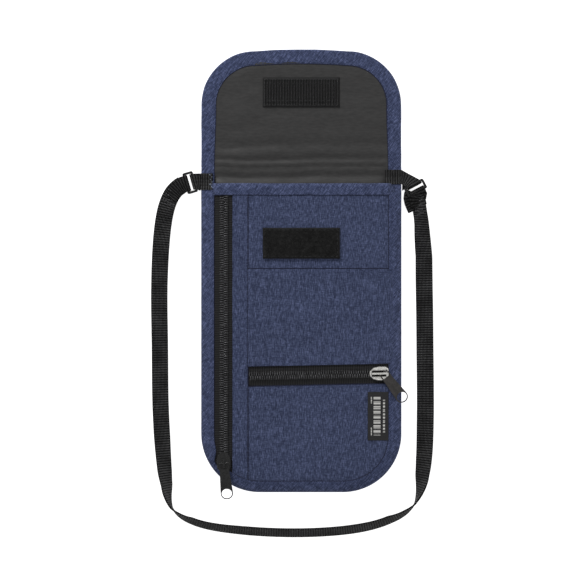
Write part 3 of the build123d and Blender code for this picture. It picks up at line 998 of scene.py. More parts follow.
# The strap leans with its outer edge up on the left and below, so that it shows its inner face.
leaned_side = strap_side * np.cos(lean) + strap_up * np.sin(lean)
leaned_up = strap_up * np.cos(lean) - strap_side * np.sin(lean)
lifted = LINE.copy()
edge_rise = np.abs(np.sin(lean[:, 0])) * (STRAP_WIDTH + 0.4) / 2
rise = edge_rise + WEBBING_THICKNESS / 2 * np.abs(np.cos(lean[:, 0]))
lifted[:, 2] = np.maximum(lifted[:, 2], rise + 0.05)
wander = 0.35 * ripple(strap_along, strap_along * 0, 40.0, 12)
# It swings out a little where it turns over, and in where it hangs from the right ring.
SWING = [(0, 0), (0.345, 0), (0.37, 2.2), (0.395, 0.2), (0.62, 0), (0.652, 2.6), (0.685, 0.2),
         (0.70, 0), (0.93, 0), (0.965, -1.6), (0.98, -2.6), (0.99, -2.9), (1.0, -2.2)]
swing_at, swing_by = zip(*SWING)
wander += np.interp(strap_along / strap_length, swing_at, swing_by)
lifted += strap_side * wander[:, None]
strap = sweep_band("neck_strap_webbing", lifted, leaned_side, leaned_up, STRAP_WIDTH + 0.3, WEBBING_THICKNESS)
paint(strap, WEBBING)
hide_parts("neck_strap")
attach(strap, "strap")


def ring_axes(place):
    x, y, turn = place
    out = np.array([math.cos(turn), math.sin(turn), 0.0])
    bar = np.array([-math.sin(turn), math.cos(turn), 0.0])
    return np.array([x, y, RING_HEIGHT]), out, bar


def fold_points(centre, away, radius, count=12):
    """Points round a ring's bar, from above to below, on the side away from the run."""
    turns = np.linspace(math.pi / 2, -math.pi / 2, count)
    return [centre + away * radius * math.cos(t) + np.array([0, 0, radius * math.sin(t)]) for t in turns]


def strap_end(name, place, tail):
    """Strap folded round the ring's outer bar and back under itself, sewn down tail away."""
    centre, out, bar = ring_axes(place)
    pivot = centre + out * BAR_OFFSET
    radius = RING_BAR / 2 + 0.25 + WEBBING_THICKNESS / 2
    folded = fold_points(pivot, -out, radius)
    above = [np.array(p) for p in tail]
    below = []
    for k, p in enumerate(above):
        share = (k + 1) / len(above)
        gap = 2 * radius * (1 - share) + 1.15 * share
        below.append(p - np.array([0, 0, gap]))
    line = list(reversed(above)) + folded + below
    line = np.array(line)
    ahead = np.gradient(line, axis=0)
    ahead /= np.linalg.norm(ahead, axis=1)[:, None]
    flat_side = np.tile(bar, (len(line), 1))
    flat_side = flat_side - ahead * np.sum(flat_side * ahead, axis=1)[:, None]
    flat_side /= np.linalg.norm(flat_side, axis=1)[:, None]
    up = np.cross(ahead, flat_side)
    return sweep_band(name, line, flat_side, up, STRAP_WIDTH - 0.2, WEBBING_THICKNESS * 0.85)


def end_tail(place, line_points, height):
    """The line that the folded end follows from the bar to where the strap itself begins."""
    centre, out, bar = ring_axes(place)
    start = centre + out * (BAR_OFFSET + 2.2) + np.array([0, 0, height])
    second = np.array(line_points[0]) + np.array([0, 0, height])
    third = np.array(line_points[1]) + np.array([0, 0, height * 0.9])
    return [start, start * 0.5 + second * 0.5, second, second * 0.5 + third * 0.5, third]


CENTRE = LINE + strap_side * wander[:, None]
near_left = CENTRE[np.searchsorted(strap_along, [5.0, 12.0])]
near_right = CENTRE[np.searchsorted(strap_along, [strap_length - 2.5, strap_length - 7.0])]
end_left = strap_end("strap_end_fold_left", LEFT_RING, end_tail(LEFT_RING, near_left, 1.1))
end_right = strap_end("strap_end_fold_right", RIGHT_RING, end_tail(RIGHT_RING, near_right, 1.1))
for made, node in ((end_left, "strap_end_left"), (end_right, "strap_end_right")):
    paint(made, WEBBING)
    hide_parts(node)
    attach(made, "strap")
# The right end's spare length sticks out under the strap, beside the ring.
tail_line = np.array([(71.9, 95.2, 3.0), (71.1, 93.2, 2.7), (70.8, 91.0, 2.3), (71.4, 88.2, 1.8),
                      (72.5, 85.6, 1.4), (73.7, 82.9, 1.1)])
_, tail_side, tail_up = ribbon_frames(tail_line)
tail_end = sweep_band("strap_spare_end_right", tail_line, tail_side, tail_up, 8.8, WEBBING_THICKNESS * 0.85)
paint(tail_end, WEBBING)
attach(tail_end, "strap")


def end_zigzag(distances, width, lift):
    """Zigzag sewing line over the end of the strap, between two distances along it."""
    line = []
    for k, at in enumerate(np.arange(*distances, 1.5)):
        i = int(np.searchsorted(strap_along, at))
        line.append(lifted[i] + leaned_side[i] * width * (1 if k % 2 else -1) + leaned_up[i] * lift)
    return line


end_lines = [
    end_zigzag((3.0, 17.0), 3.6, 1.1),
    end_zigzag((strap_length - 14.0, strap_length - 3.0), 3.4, 0.9),
]
end_stitches = stitched("strap_end_stitches", end_lines, GREY_THREAD, 1.8, FINE_STITCH)
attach(end_stitches, "strap")


# ------------------------------------------------------------------ cloth of the body
def bend_at_low_fold(piece):
    """Bake the piece's placing into its mesh; the piece is not bent."""
    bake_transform(piece)


def bend_at_high_fold(piece):
    """Bake the piece's placing into its mesh; the piece is not bent."""
    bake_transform(piece)


def cloth_piece(piece, thickness, material, slot, *nodes):
    """Thicken a sheet, give it its cloth, and let it stand for its CAD nodes."""
    thicken(piece, thickness)
    paint(piece, material)
    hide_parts(*nodes)
    return piece


back = sheet_between(
    "back_cloth", body_left(2, 2), body_right(2, 2), constant(BOTTOM + 2), constant(FOLD_MIDDLE),
    lambda x, y: 1.25 + 0 * x, 40, 70,
)
cloth_piece(back, 1.0, CLOTH, "heather_cloth", "back_panel", "spine_outer")
bend_at_low_fold(back)

back_lining = sheet_between(
    "back_lining_cloth", body_left(3, 3), body_right(3, 3), constant(BOTTOM + 4), constant(FOLD_MIDDLE),
    lambda x, y: np.where(y > 90, lining_z(x, y), 1.9 + 2.45 * smooth(60, 90, y)), 60, 150,
)
cloth_piece(back_lining, 0.35, LINING, "lining", "back_lining", "spine_lining")
bend_at_low_fold(back_lining)


def flap_right(inset):
    return lambda y: float(flap_half(y, inset))


def flap_left(inset):
    return lambda y: -float(flap_half(y, inset))


FLAP_EDGE = FLAP_TOP - FLAP_CROWN * 0.55
flap_cloth = sheet_between(
    "flap_cloth", flap_left(2), flap_right(2), constant(FOLD_MIDDLE), constant(FLAP_EDGE - 2.2),
    lambda x, y: 1.25 + 0 * x, 40, 34,
)
cloth_piece(flap_cloth, 1.0, CLOTH, "heather_cloth", "flap_outer")
flap_lining = sheet_between(
    "flap_lining_cloth", flap_left(3.5), flap_right(3.5), constant(FOLD_MIDDLE), constant(FLAP_EDGE - 3.7),
    lining_z, 110, 90,
)
cloth_piece(flap_lining, 0.35, LINING, "lining", "flap_lining")
for piece in (flap_cloth, flap_lining):
    bend_at_high_fold(piece)

# Front panels. Their hidden edges run under the binding.
upper = sheet_between(
    "upper_front_panel", constant(STRIP_RIGHT), constant(HALF_WIDTH - HIDDEN),
    lambda x: zip_line(x) + LOWER_WINDOW_HALF, constant(MOUTH - 1.2), front_z, 90, 115,
)
cloth_piece(upper, 0.6, CLOTH, "heather_cloth", "front_upper_panel")
strip = sheet_between(
    "side_strip_panel", constant(STRIP_LEFT), constant(STRIP_RIGHT),
    lambda x: -float(
        BOTTOM_RADIUS + 24 + math.sqrt(max((BOTTOM_RADIUS - HIDDEN) ** 2 - (abs(x) - 27) ** 2, 0))
    ),
    constant(MOUTH - 1.2), lambda x, y: front_z(x, y) + 0.12, 12, 150,
)
cloth_piece(strip, 0.6, CLOTH, "heather_cloth", "side_strip")
lower = sheet_between(
    "lower_front_panel", constant(STRIP_RIGHT), body_right(HIDDEN, HIDDEN),
    constant(BOTTOM + HIDDEN), lambda x: zip_line(x) - LOWER_WINDOW_HALF, front_z, 90, 70,
)
cloth_piece(lower, 0.6, CLOTH, "heather_cloth", "lower_pocket_panel")


def slip_z(x, y):
    """The slip pocket lies on the upper panel and bows out a little towards its mouth."""
    across = (x - STRIP_RIGHT) / (POCKET_RIGHT - STRIP_RIGHT)
    bow = np.clip(4 * across * (1 - across), 0, 1) * smooth(-10, POCKET_MOUTH, y)
    return front_z(x, y) + 0.50 + 0.45 * bow * smooth(30, POCKET_MOUTH, y) + 0.10 * ripple(x, y, 17.0, 21)


slip = sheet_between(
    "slip_pocket", constant(STRIP_RIGHT + 0.3), constant(POCKET_RIGHT + 2.5),
    lambda x: zip_line(x) + LOWER_WINDOW_HALF - 0.15, constant(POCKET_MOUTH), slip_z, 90, 66,
)
cloth_piece(slip, 0.55, CLOTH, "heather_cloth", "slip_pocket_panel")

inner = sheet_between(
    "inner_front_lining", body_left(HIDDEN, HIDDEN), body_right(HIDDEN, HIDDEN), constant(BOTTOM + HIDDEN),
    constant(MOUTH - 1.5), lambda x, y: np.minimum(front_z(x, y) - 2.2, 6.1), 40, 80,
)
cloth_piece(inner, 0.3, LINING, "lining", "front_lining")
side_bag = sheet_between(
    "side_pocket_lining", body_left(HIDDEN, HIDDEN), constant(STRIP_RIGHT), constant(BOTTOM + HIDDEN + 2),
    constant(MOUTH - 8), lambda x, y: np.minimum(front_z(x, y) - 1.75, 6.45), 20, 80,
)
cloth_piece(side_bag, 0.3, LINING, "lining", "side_pocket_bag")
low_bag = sheet_between(
    "lower_pocket_lining", constant(STRIP_RIGHT + 0.2), body_right(HIDDEN, HIDDEN),
    constant(BOTTOM + HIDDEN + 2),
    constant(-4), lambda x, y: np.minimum(front_z(x, y) - 1.75, 6.45), 40, 40,
)
cloth_piece(low_bag, 0.3, LINING, "lining", "lower_pocket_bag")

# The hem: one folded band over the mouth's edge, in bias-cut cloth.
hem_profile = [(MOUTH - HEM, 0.16), (MOUTH - HEM + 0.25, 0.42), (MOUTH - 4, 0.56), (MOUTH - 1.6, 0.52),
               (MOUTH - 0.5, 0.18), (MOUTH, -0.55), (MOUTH - 0.15, -1.5), (MOUTH - 0.9, -2.1),
               (MOUTH - 4, -2.35)]
rows, uvs = [], []
for i in range(121):
    x = -POCKET_RIGHT - 1.6 + (2 * POCKET_RIGHT + 3.2) * i / 120
    sunk = 1.1 * float(smooth(POCKET_RIGHT - 0.5, POCKET_RIGHT + 1.0, abs(x)))
    base = float(front_z(x, MOUTH - 4.0)) - sunk
    rows.append([(x, y + 0.16 * float(ripple(x, 0, 9.0, 14)), base + up) for y, up in hem_profile])
    uvs.append([(x * MM, k * 0.0012) for k in range(len(hem_profile))])
hem = grid_object("mouth_hem", rows, uvs)
cloth_piece(hem, 0.4, BIAS, "heather_binding", "front_top_hem")
for piece in (upper, strip, lower, slip, inner, side_bag, low_bag, hem):
    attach(piece, "root")


# ------------------------------------------------------------------ bindings
def corner(cx, cy, radius, start, end, count):
    """Points round a corner, with their outward normals."""
    points = []
    for t in np.linspace(start, end, count):
        out = (math.cos(t), math.sin(t))
        points.append(((cx + radius * out[0], cy + radius * out[1]), out))
    return points


def body_edge(step=1.2):
    """Points down the left side, round the bottom and up the right side, with outward normals."""
    cx, cy = HALF_WIDTH - BOTTOM_RADIUS, BOTTOM + BOTTOM_RADIUS
    points = [((-HALF_WIDTH, y), (-1.0, 0.0)) for y in np.arange(FOLD_MIDDLE, cy, -step)]
    points += corner(-cx, cy, BOTTOM_RADIUS, math.pi, 1.5 * math.pi, 50)
    points += [((x, BOTTOM), (0.0, -1.0)) for x in np.arange(-cx + step, cx, step)]
    points += corner(cx, cy, BOTTOM_RADIUS, 1.5 * math.pi, 2 * math.pi, 50)
    points += [((HALF_WIDTH, y), (1.0, 0.0)) for y in np.arange(cy + step, FOLD_MIDDLE, step)]
    points.append(((HALF_WIDTH, FOLD_MIDDLE), (1.0, 0.0)))
    return points


def flap_edge(step=1.2):
    """Points up the right side of the flap, over its top and down the left side."""
    cx, cy = HALF_WIDTH - FLAP_RADIUS, FLAP_TOP - FLAP_CROWN * 0.55 - FLAP_RADIUS
    points = [((HALF_WIDTH, y), (1.0, 0.0)) for y in np.arange(FOLD_MIDDLE, cy, step)]
    points += corner(cx, cy, FLAP_RADIUS, 0, math.pi / 2, 46)
    for x in np.arange(cx - step, -cx, -step):
        y = FLAP_TOP - FLAP_CROWN * 0.55 + FLAP_CROWN * 0.45 * (1 - (x / cx) ** 2)
        points.append(((x, y), (0.0, 1.0)))
    points += corner(-cx, cy, FLAP_RADIUS, math.pi / 2, math.pi, 46)
    points += [((-HALF_WIDTH, y), (-1.0, 0.0)) for y in np.arange(cy - step, FOLD_MIDDLE, -step)]
    points.append(((-HALF_WIDTH, FOLD_MIDDLE), (-1.0, 0.0)))
    return points


def binding_band(name, edge, width_at, top_at):
    """Bias binding folded round an edge: flat underneath, rolled outside, turned in on top."""
    rows, uvs, along, before = [], [], 0.0, None
    for (px, py), (nx, ny) in edge:
        if before is not None:
            along += math.hypot(px - before[0], py - before[1])
        before = (px, py)
        width = width_at(px, py)
        pucker = 0.12 * math.sin(along / 3.1) + 0.14 * float(ripple(along, py * 0, 5.0, 31))
        row, uv, run = [], [], 0.0
        top_points = []
        for inset in (width * share for share in (1, 0.82, 0.6, 0.38, 0.2)):
            x, y = px - nx * inset, py - ny * inset
            z = top_at(x, y, inset)
            if inset < width:
                z += pucker * math.sin(math.pi * inset / width)
            top_points.append((x, y, z))
        x, y, z = top_points[0]
        side_z = top_at(px, py, 0.0)
        low = 0.12
        # The turned-in edge, the flange, the roll round the side and the flange underneath.
        row.append((x - nx * 0.05, y - ny * 0.05, z - 0.55))
        row += top_points
        for share in (0.16, 0.42, 0.70, 1.0):
            t = share * math.pi / 2
            inset = 1.35 * (1 - math.sin(t))
            drop = 1.0 * (1 - math.cos(t))
            row.append((px - nx * inset, py - ny * inset, side_z + 0.25 - drop))
        middle = (side_z - 0.75 + low + 0.9) / 2
        bulge = 0.12 * math.sin(along / 4.3)
        row.append((px + nx * bulge, py + ny * bulge, middle))
        for share in (1.0, 0.5, 0.0):
            t = share * math.pi / 2
            inset = 0.9 * (1 - math.sin(t))
            row.append((px - nx * inset, py - ny * inset, low + 0.9 * (1 - math.cos(t))))
        row.append((px - nx * width * 0.5, py - ny * width * 0.5, low))
        row.append((px - nx * width, py - ny * width, low + 0.02))
        for k, p in enumerate(row):
            if k:
                run += math.dist(p, row[k - 1])
            uv.append((along * MM, run * MM))
        rows.append(row)
        uvs.append(uv)
    made = grid_object(name, rows, uvs)
    thicken(made, 0.4)
    return turn_outward(made)


def body_binding_width(x, y):
    side = SIDE_BINDING + (BOTTOM_BINDING - SIDE_BINDING) * float(smooth(-62, -98, y))
    near = math.exp(-(((x + 57.5) / 7.0) ** 2) - ((y + 84.0) / 6.0) ** 2)
    return side - 4.2 * min(near * 1.25, 1.0)


def body_binding_top(x, y, inset):
    """On the front up to the mouth, and on the lining above it."""
    over_front = float(front_z(x, min(y, 96.0))) + 0.42
    low = float(lining_z(x, max(y, 100.0))) * 0.25 + 1.95
    share = float(smooth(92.0, 109.0, y))
    return over_front * (1 - share) + low * share


def flap_binding_top(x, y, inset):
    return 2.15 + 0.35 * float(smooth(0, 5, inset)) + 0.10 * float(ripple(x, y, 7.0, 33))


binding = binding_band("body_bias_binding", body_edge(), body_binding_width, body_binding_top)
paint(binding, BIAS)
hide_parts("body_binding", "spine_binding")
bend_at_low_fold(binding)


def flap_binding_width(x, y):
    return SIDE_BINDING + (FLAP_BINDING - SIDE_BINDING) * float(smooth(112, 150, y))


flap_binding = binding_band("flap_bias_binding", flap_edge(), flap_binding_width, flap_binding_top)
paint(flap_binding, BIAS)
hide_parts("flap_binding")
bend_at_high_fold(flap_binding)


def along_binding(edge, width_at, beyond, height_at):
    """Line beside a binding's inner edge, beyond it by a distance."""
    line = []
    for (px, py), (nx, ny) in edge:
        inset = width_at(px, py) + beyond
        x, y = px - nx * inset, py - ny * inset
        line.append((x, y, height_at(x, y, inset)))
    return line


# Stitching beside the binding's inner edge, on both parts of the pouch.
body_line = along_binding(
    body_edge(), body_binding_width, -1.1, lambda x, y, inset: body_binding_top(x, y, inset) + 0.16
)
flap_line = along_binding(
    flap_edge(), flap_binding_width, -1.1, lambda x, y, inset: flap_binding_top(x, y, inset) + 0.16
)
body_stitches = stitched("body_binding_stitches", [body_line], NAVY_THREAD)
bend_at_low_fold(body_stitches)
flap_stitches = stitched("flap_binding_stitches", [flap_line], NAVY_THREAD)
bend_at_high_fold(flap_stitches)

# Painted shade: dark lines of seam thread in the groove beside each binding's inner edge, standing in for its
# shadow.
seam_shade_line_body = along_binding(
    body_edge(), body_binding_width, 0.12, lambda x, y, inset: body_binding_top(x, y, inset) - 0.22
)
seam_shade_line_flap = along_binding(
    flap_edge(), flap_binding_width, 0.12, lambda x, y, inset: float(lining_z(x, y)) + 0.12
)
body_seam_shade = stitched("body_binding_seam", [seam_shade_line_body], PAINTED_SEAM_SHADE, 1.9, SEAM_SHADE_BEAD)
bend_at_low_fold(body_seam_shade)
flap_seam_shade = stitched("flap_binding_seam", [seam_shade_line_flap], PAINTED_SEAM_SHADE, 1.9, SEAM_SHADE_BEAD)
bend_at_high_fold(flap_seam_shade)

# Seams on the front: the hem's lower edge, the strip's two edges, and the zipper's edges.
def surface_line(x0, y0, x1, y1, lift, height=front_z, steps=60):
    """Line of points on a surface, from one place to another."""
    line = []
    for k in range(steps + 1):
        x, y = x0 + (x1 - x0) * k / steps, y0 + (y1 - y0) * k / steps
        line.append((x, y, float(height(x, y)) + lift))
    return line


def beside_lower_zip(away, lift, height=front_z):
    """Line along the lower zipper, away from its middle."""
    left, right = STRIP_RIGHT + 1, POCKET_RIGHT
    return surface_line(left, zip_line(STRIP_RIGHT) + away, right, zip_line(right) + away, lift, height)


front_lines = [
    surface_line(-POCKET_RIGHT, MOUTH - HEM + 1.2, POCKET_RIGHT, MOUTH - HEM + 1.2, 0.62),
    surface_line(STRIP_LEFT + 1.3, -90, STRIP_LEFT + 1.3, MOUTH - HEM, 0.22),
    surface_line(STRIP_RIGHT - 1.2, -91, STRIP_RIGHT - 1.2, MOUTH - HEM, 0.22),
    beside_lower_zip(-7.7, 0.10),
    beside_lower_zip(7.7, 0.10, slip_z),
    surface_line(STRIP_RIGHT + 1, POCKET_MOUTH - 1.6, POCKET_RIGHT, POCKET_MOUTH - 1.6, 0.10, slip_z),
]
front_stitches = stitched("front_seam_stitches", front_lines, NAVY_THREAD)
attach(front_stitches, "root")
# Painted shade: dark lines in the grooves of the front's seams and at the slip pocket's mouth, standing in
# for their shadows.
front_shade_lines = [
    surface_line(-POCKET_RIGHT, MOUTH - HEM - 0.15, POCKET_RIGHT, MOUTH - HEM - 0.15, 0.10),
    surface_line(STRIP_RIGHT + 0.25, -93, STRIP_RIGHT + 0.25, MOUTH - HEM, 0.16),
    surface_line(STRIP_RIGHT + 1, POCKET_MOUTH + 0.3, POCKET_RIGHT, POCKET_MOUTH + 0.3, 0.12),
    beside_lower_zip(-6.6, 0.02),
    beside_lower_zip(6.4, 0.35),
]
front_seam_shade = stitched("front_seam_lines", front_shade_lines, PAINTED_SEAM_SHADE, 1.9, SEAM_SHADE_BEAD)
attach(front_seam_shade, "root")


# ------------------------------------------------------------------ zippers
def zip_place(kind, along, across):
    """Plan point at a distance along a zipper, in closing direction, and across it."""
    if kind == "side":
        return SIDE_ZIP_X + across, -along
    c, s = math.cos(LOWER_ZIP_TILT), math.sin(LOWER_ZIP_TILT)
    return LOWER_ZIP_START[0] + c * along - s * across, LOWER_ZIP_START[1] + s * along + c * across


def tape_piece(kind, start, end, inner, outer, name):
    """Half of a zipper tape: flat beside the coil and dipping a little away from it."""
    rows, uvs = [], []
    for i in range(141):
        a = start + (end - start) * i / 140
        row, uv = [], []
        for k in range(9):
            w = inner + (outer - inner) * k / 8
            x, y = zip_place(kind, a, w)
            if kind == "side" and y < -62:
                y = max(y, BOTTOM + BOTTOM_RADIUS - math.sqrt(34.0**2 - min(abs(x) - 27, 33.0) ** 2))
            dip = 0.18 * smooth(3.2, 6.0, abs(w)) + 0.05 * float(ripple(a, w, 6.0, 41))
            z = min(TAPE_HEIGHT - dip, float(front_z(x, y)) - 0.15)
            row.append((x, y, z))
            uv.append((a * MM, w * MM))
        rows.append(row)
        uvs.append(uv)
    made = grid_object(name, rows, uvs)
    shape = bmesh.new()
    shape.from_mesh(made.data)
    if sum(face.normal.z for face in shape.faces) < 0:
        bmesh.ops.reverse_faces(shape, faces=shape.faces)
    shape.to_mesh(made.data)
    shape.free()
    thicken(made, 0.35)
    paint(made, TAPE)
    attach(made, "root")
    return made


for kind, start, end, reach in (("side", -97.0, 91.5, 6.6), ("lower", -0.4, 94.0, 7.6)):
    for side, word in ((1, "a"), (-1, "b")):
        tape = tape_piece(kind, start, end, side * 0.4, side * reach, f"{kind}_tape_{word}")
        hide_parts(f"{kind}_zip_tape_{word}")

# One turn of coil: a fat rounded rod across the chain, its head past the middle line.
TOOTH = spare(bead("coil_turn_pattern", 0.82, 3.1, 1.3))
TOOTH_ACROSS = spare(bead("coil_turn_pattern_turned", 3.1, 0.82, 1.3))


def coil_row(kind, word, side, start, end):
    points = []
    shift = 0 if side > 0 else TOOTH_PITCH / 2
    count = int((end - start - shift) / TOOTH_PITCH)
    for k in range(count + 1):
        x, y = zip_place(kind, start + shift + k * TOOTH_PITCH, side * 1.35)
        points.append((x, y, (8.0 + CHAIN_TOP) / 2 + 0.05))
    pattern = TOOTH_ACROSS if kind == "side" else TOOTH
    made = repeated(
        f"{kind}_coil_{word}", ON_POINTS, points, [], pattern, COIL_PAINTED_HIGHLIGHT, wobble=0.03, seed=7
    )
    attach(made, "root")
    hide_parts(f"{kind}_zip_coil_{word}")
    return made


for kind, start, end in (("side", -91.8, 85.9), ("lower", 0.6, 89.5)):
    chain_a = coil_row(kind, "a", 1, start, end)
    coil_row(kind, "b", -1, start, end)
    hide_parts(f"{kind}_zip_stops")
chain_lines = []
for kind, start, end in (("side", -91.5, 85.5), ("lower", 1.0, 89.2)):
    for w in (-2.35, 2.35):
        places = [zip_place(kind, start + (end - start) * k / 80, w) for k in range(81)]
        chain_lines.append([(*place, CHAIN_TOP - 0.02) for place in places])
coil_threads = stitched(
    "coil_sewing_threads", chain_lines, BLACK_THREAD, TOOTH_PITCH, FINE_STITCH
)
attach(coil_threads, "root")

# ------------------------------------------------------------------ hook and loop patches, label
LOOP_Y, HOOK_Y = 61.5, 159.7


def rounded_patch(name, cx, cy, width, length, low_at, height, nx, ny, rough, seed):
    """Patch with rounded edges; rough gives the pile's uneven top."""
    rows = []
    for j in range(ny + 1):
        row = []
        for i in range(nx + 1):
            u, v = i / nx * 2 - 1, j / ny * 2 - 1
            x, y = cx + u * width / 2, cy + v * length / 2
            d = min((1 - abs(u)) * width / 2, (1 - abs(v)) * length / 2)
            edge = math.sqrt(max(0.0, 1 - (1 - min(d / 1.1, 1)) ** 2))
            z = float(low_at(x, y)) + height * (0.25 + 0.75 * edge)
            z += rough * edge * (float(ripple(x, y, 0.75, seed)) + 0.6 * float(ripple(x, y, 2.2, seed + 1)))
            row.append((x, y, z))
        rows.append(row)
    made = grid_object(name, rows, uv_rows=np.array(rows)[..., :2] * MM)
    shape = bmesh.new()
    shape.from_mesh(made.data)
    rim = [e for e in shape.edges if e.is_boundary]
    out = bmesh.ops.extrude_edge_only(shape, edges=rim)
    for v in (g for g in out["geom"] if isinstance(g, bmesh.types.BMVert)):
        v.co.z = float(low_at(v.co.x / MM, v.co.y / MM)) * MM - 0.0002
    bmesh.ops.holes_fill(shape, edges=[e for e in shape.edges if e.is_boundary])
    bmesh.ops.recalc_face_normals(shape, faces=shape.faces)
    shape.to_mesh(made.data)
    shape.free()
    return made


loop_patch = rounded_patch("loop_tape_patch", 0, LOOP_Y, 50, 20, front_z, 1.9, 200, 80, 0.16, 51)
paint(loop_patch, LOOP)
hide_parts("loop_patch")
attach(loop_patch, "root")
hook_patch = rounded_patch("hook_tape_patch", 0, HOOK_Y, 50, 19.5, lining_z, 0.75, 100, 40, 0.02, 53)
paint(hook_patch, HOOK_GROUND)
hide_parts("hook_patch")
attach(hook_patch, "flap")

LOOP_TUFT = spare(bead("loop_tuft_pattern", 0.95, 0.24, 0.42, 5))
rng = np.random.RandomState(5)
tufts = []
for _ in range(2600):
    x, y = rng.uniform(-24.3, 24.3), LOOP_Y + rng.uniform(-9.3, 9.3)
    tufts.append((x, y, float(front_z(x, y)) + 1.95 + rng.uniform(-0.1, 0.2)))
loop_pile = repeated(
    "loop_tape_pile", ON_POINTS, tufts, [], LOOP_TUFT, LOOP, seed=11, wobble=3.1
)
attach(loop_pile, "root")
# Rows of hooks 1.76 mm apart. A real hook is a 0.2 mm filament, drawn 0.8 mm wide so that the rows show.
HOOK_STEM = spare(bead("hook_pattern", 0.8, 0.7, 1.5, 6))
hooks = []
for j in range(19):
    for i in range(28):
        x, y = -23.8 + i * 1.76, HOOK_Y - 8.1 + j * 0.9
        hooks.append((x, y, float(lining_z(x, y)) + 1.05 + rng.uniform(-0.08, 0.08)))
hook_field = repeated(
    "hook_tape_hooks", ON_POINTS, hooks, [], HOOK_STEM, HOOK, seed=13, wobble=0.35
)
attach(hook_field, "flap")


def box_line(cx, cy, width, length, height, lift, inset):
    half_x, half_y = width / 2 - inset, length / 2 - inset
    corners = [(-half_x, -half_y), (half_x, -half_y), (half_x, half_y), (-half_x, half_y), (-half_x, -half_y)]
    line = []
    for (ax, ay), (bx, by) in zip(corners, corners[1:]):
        line += surface_line(cx + ax, cy + ay, cx + bx, cy + by, lift, height, 30)
    return line


loop_stitches = stitched(
    "loop_tape_stitches", [box_line(0, LOOP_Y, 50, 20, front_z, 2.02, 1.5)], BLACK_THREAD
)
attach(loop_stitches, "root")
hook_lines = [
    box_line(0, HOOK_Y, 50, 19.5, lining_z, lift, inset) for lift, inset in ((1.55, 1.3), (1.62, 4.2))
]
hook_stitches = stitched("hook_tape_stitches", hook_lines, BLACK_THREAD)
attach(hook_stitches, "flap")

LABEL_X, LABEL_Y, LABEL_WIDTH, LABEL_LENGTH = 49.7, -50.5, 13.3, 31.4
LABEL = label_material(
    ((LABEL_X - LABEL_WIDTH / 2) * MM, (LABEL_Y - LABEL_LENGTH / 2) * MM),
    ((LABEL_X + LABEL_WIDTH / 2) * MM, (LABEL_Y + LABEL_LENGTH / 2) * MM),
)
label = sheet_between(
    "side_label", constant(LABEL_X - LABEL_WIDTH / 2), constant(LABEL_X + LABEL_WIDTH / 2),
    constant(LABEL_Y - LABEL_LENGTH / 2), constant(LABEL_Y + LABEL_LENGTH / 2),
    lambda x, y: front_z(x, y) + 0.42 + 0.12 * ripple(x, y, 8.0, 61), 24, 50,
)
cloth_piece(label, 0.35, LABEL, "label_cloth", "woven_label")
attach(label, "root")

# ------------------------------------------------------------------ tabs that hold the rings
BAR_TACK = speckled("pale_bar_tack_thread", "#8FA2C4", "#D5DEEC", 0.0009, 0.6)


# Where each tab begins across the pouch, the middle of its sewn part, and half its width there.
TAB_SEWN = {-1: (57.6, 101.6, 5.4), 1: (54.6, 104.6, 4.7)}


def tab_surface(x, y):
    return body_binding_top(x, y, 4.0) + 0.62


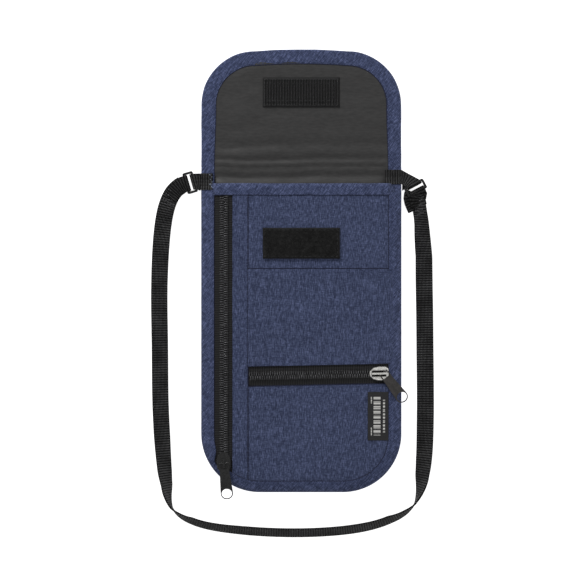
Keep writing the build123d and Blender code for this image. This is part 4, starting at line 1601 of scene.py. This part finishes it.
def tab_piece(name, side, place):
    """Webbing sewn on the pouch's shoulder, turned round the ring's inner bar and back."""
    centre, out, bar = ring_axes(place)
    pivot = centre - out * BAR_OFFSET
    radius = RING_BAR / 2 + 0.25 + 0.45
    half = WEBBING_WIDTH / 2
    start, sewn_y, sewn_half = TAB_SEWN[side]
    stations = []
    for x in np.linspace(start, 65.2, 9):
        stations.append([np.array([side * x, sewn_y + s * sewn_half, 0.0]) for s in (-1, 1)])
        for p in stations[-1]:
            p[2] = tab_surface(p[0], p[1]) - 0.9 * smooth(63.0, 66.0, x)
    bar_up = bar if bar[1] > 0 else -bar
    ends = [pivot + bar_up * s * half for s in (-1, 1)]
    last = stations[-1]
    for share in (0.25, 0.5, 0.75, 0.92):
        pair = []
        for p, e in zip(last, ends):
            q = p * (1 - share) + (e + np.array([0, 0, radius])) * share
            pair.append(q)
        stations.append(pair)
    for t in np.linspace(math.pi / 2, -math.pi / 2, 13):
        shift = out * radius * math.cos(t) + np.array([0, 0, radius * math.sin(t)])
        stations.append([e + shift for e in ends])
    for share in (0.3, 0.65, 1.0):
        pair = []
        for e, s in zip(ends, (-1, 1)):
            q = (e + np.array([0, 0, -radius])) * (1 - share)
            q = q + np.array([side * 65.6, TAB_Y + s * half, RING_HEIGHT - 1.6]) * share
            pair.append(q)
        stations.append(pair)
    rows, uvs, along = [], [], 0.0
    section = webbing_section(WEBBING_WIDTH, 0.9, 8)
    middles = np.array([(a + b) / 2 for a, b in stations])
    ahead = np.gradient(middles, axis=0)
    for k, (a, b) in enumerate(stations):
        across = (b - a) / np.linalg.norm(b - a)
        up = np.cross(ahead[k], across)
        up /= np.linalg.norm(up)
        if side < 0:
            up = -up
        width = np.linalg.norm(b - a) / WEBBING_WIDTH
        if k:
            along += float(np.linalg.norm(middles[k] - middles[k - 1]))
        rows.append([middles[k] + across * w * width + up * h for w, h in section])
        uvs.append([(along * MM, w * MM) for w, _ in section])
    made = grid_object(name, rows, uvs, closed=True)
    turn_outward(made, fill_holes=True)
    made.data.set_sharp_from_angle(angle=math.radians(50))
    return made


for word, side, place in (("left", -1, LEFT_RING), ("right", 1, RIGHT_RING)):
    tab = tab_piece(f"shoulder_tab_{word}", side, place)
    paint(tab, WEBBING)
    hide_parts(f"tab_base_{word}", f"tab_loop_{word}")
    start, end = (side * 64.5 * MM, TAB_Y * MM, 0), (side * 69.5 * MM, TAB_Y * MM, 0)
    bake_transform(tab)
    zigzag = []
    for k in range(6):
        x, y = side * (57.9 + 1.3 * (k % 2)), TAB_SEWN[side][1] - 3.6 + 1.55 * k
        zigzag.append((x, y, tab_surface(x, y) + 0.62))
    thread = BAR_TACK if side < 0 else BLACK_THREAD
    tack = stitched(f"bar_tack_{word}", [zigzag], thread, 1.9, FINE_STITCH)
    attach(tack, "root")

# ------------------------------------------------------------------ hard parts that show as made
FINISHES = {
    "lower_slider": nickel_slider(50.3, -22.84, LOWER_ZIP_TILT),
    "side_slider": BLACK_METAL,
    "side_pull": BLACK_METAL,
    "lower_pull": DULL_METAL,
    "strap_ring_left": ACETAL,
    "strap_ring_right": ACETAL,
}
for node, finish in FINISHES.items():
    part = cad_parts[node]
    part.data.materials.clear()
    part.data.materials.append(finish)
    weld = part.modifiers.new("join_doubled_points", "WELD")
    weld.merge_threshold = 0.00001

for piece in SPARE:
    bpy.data.objects.remove(piece)
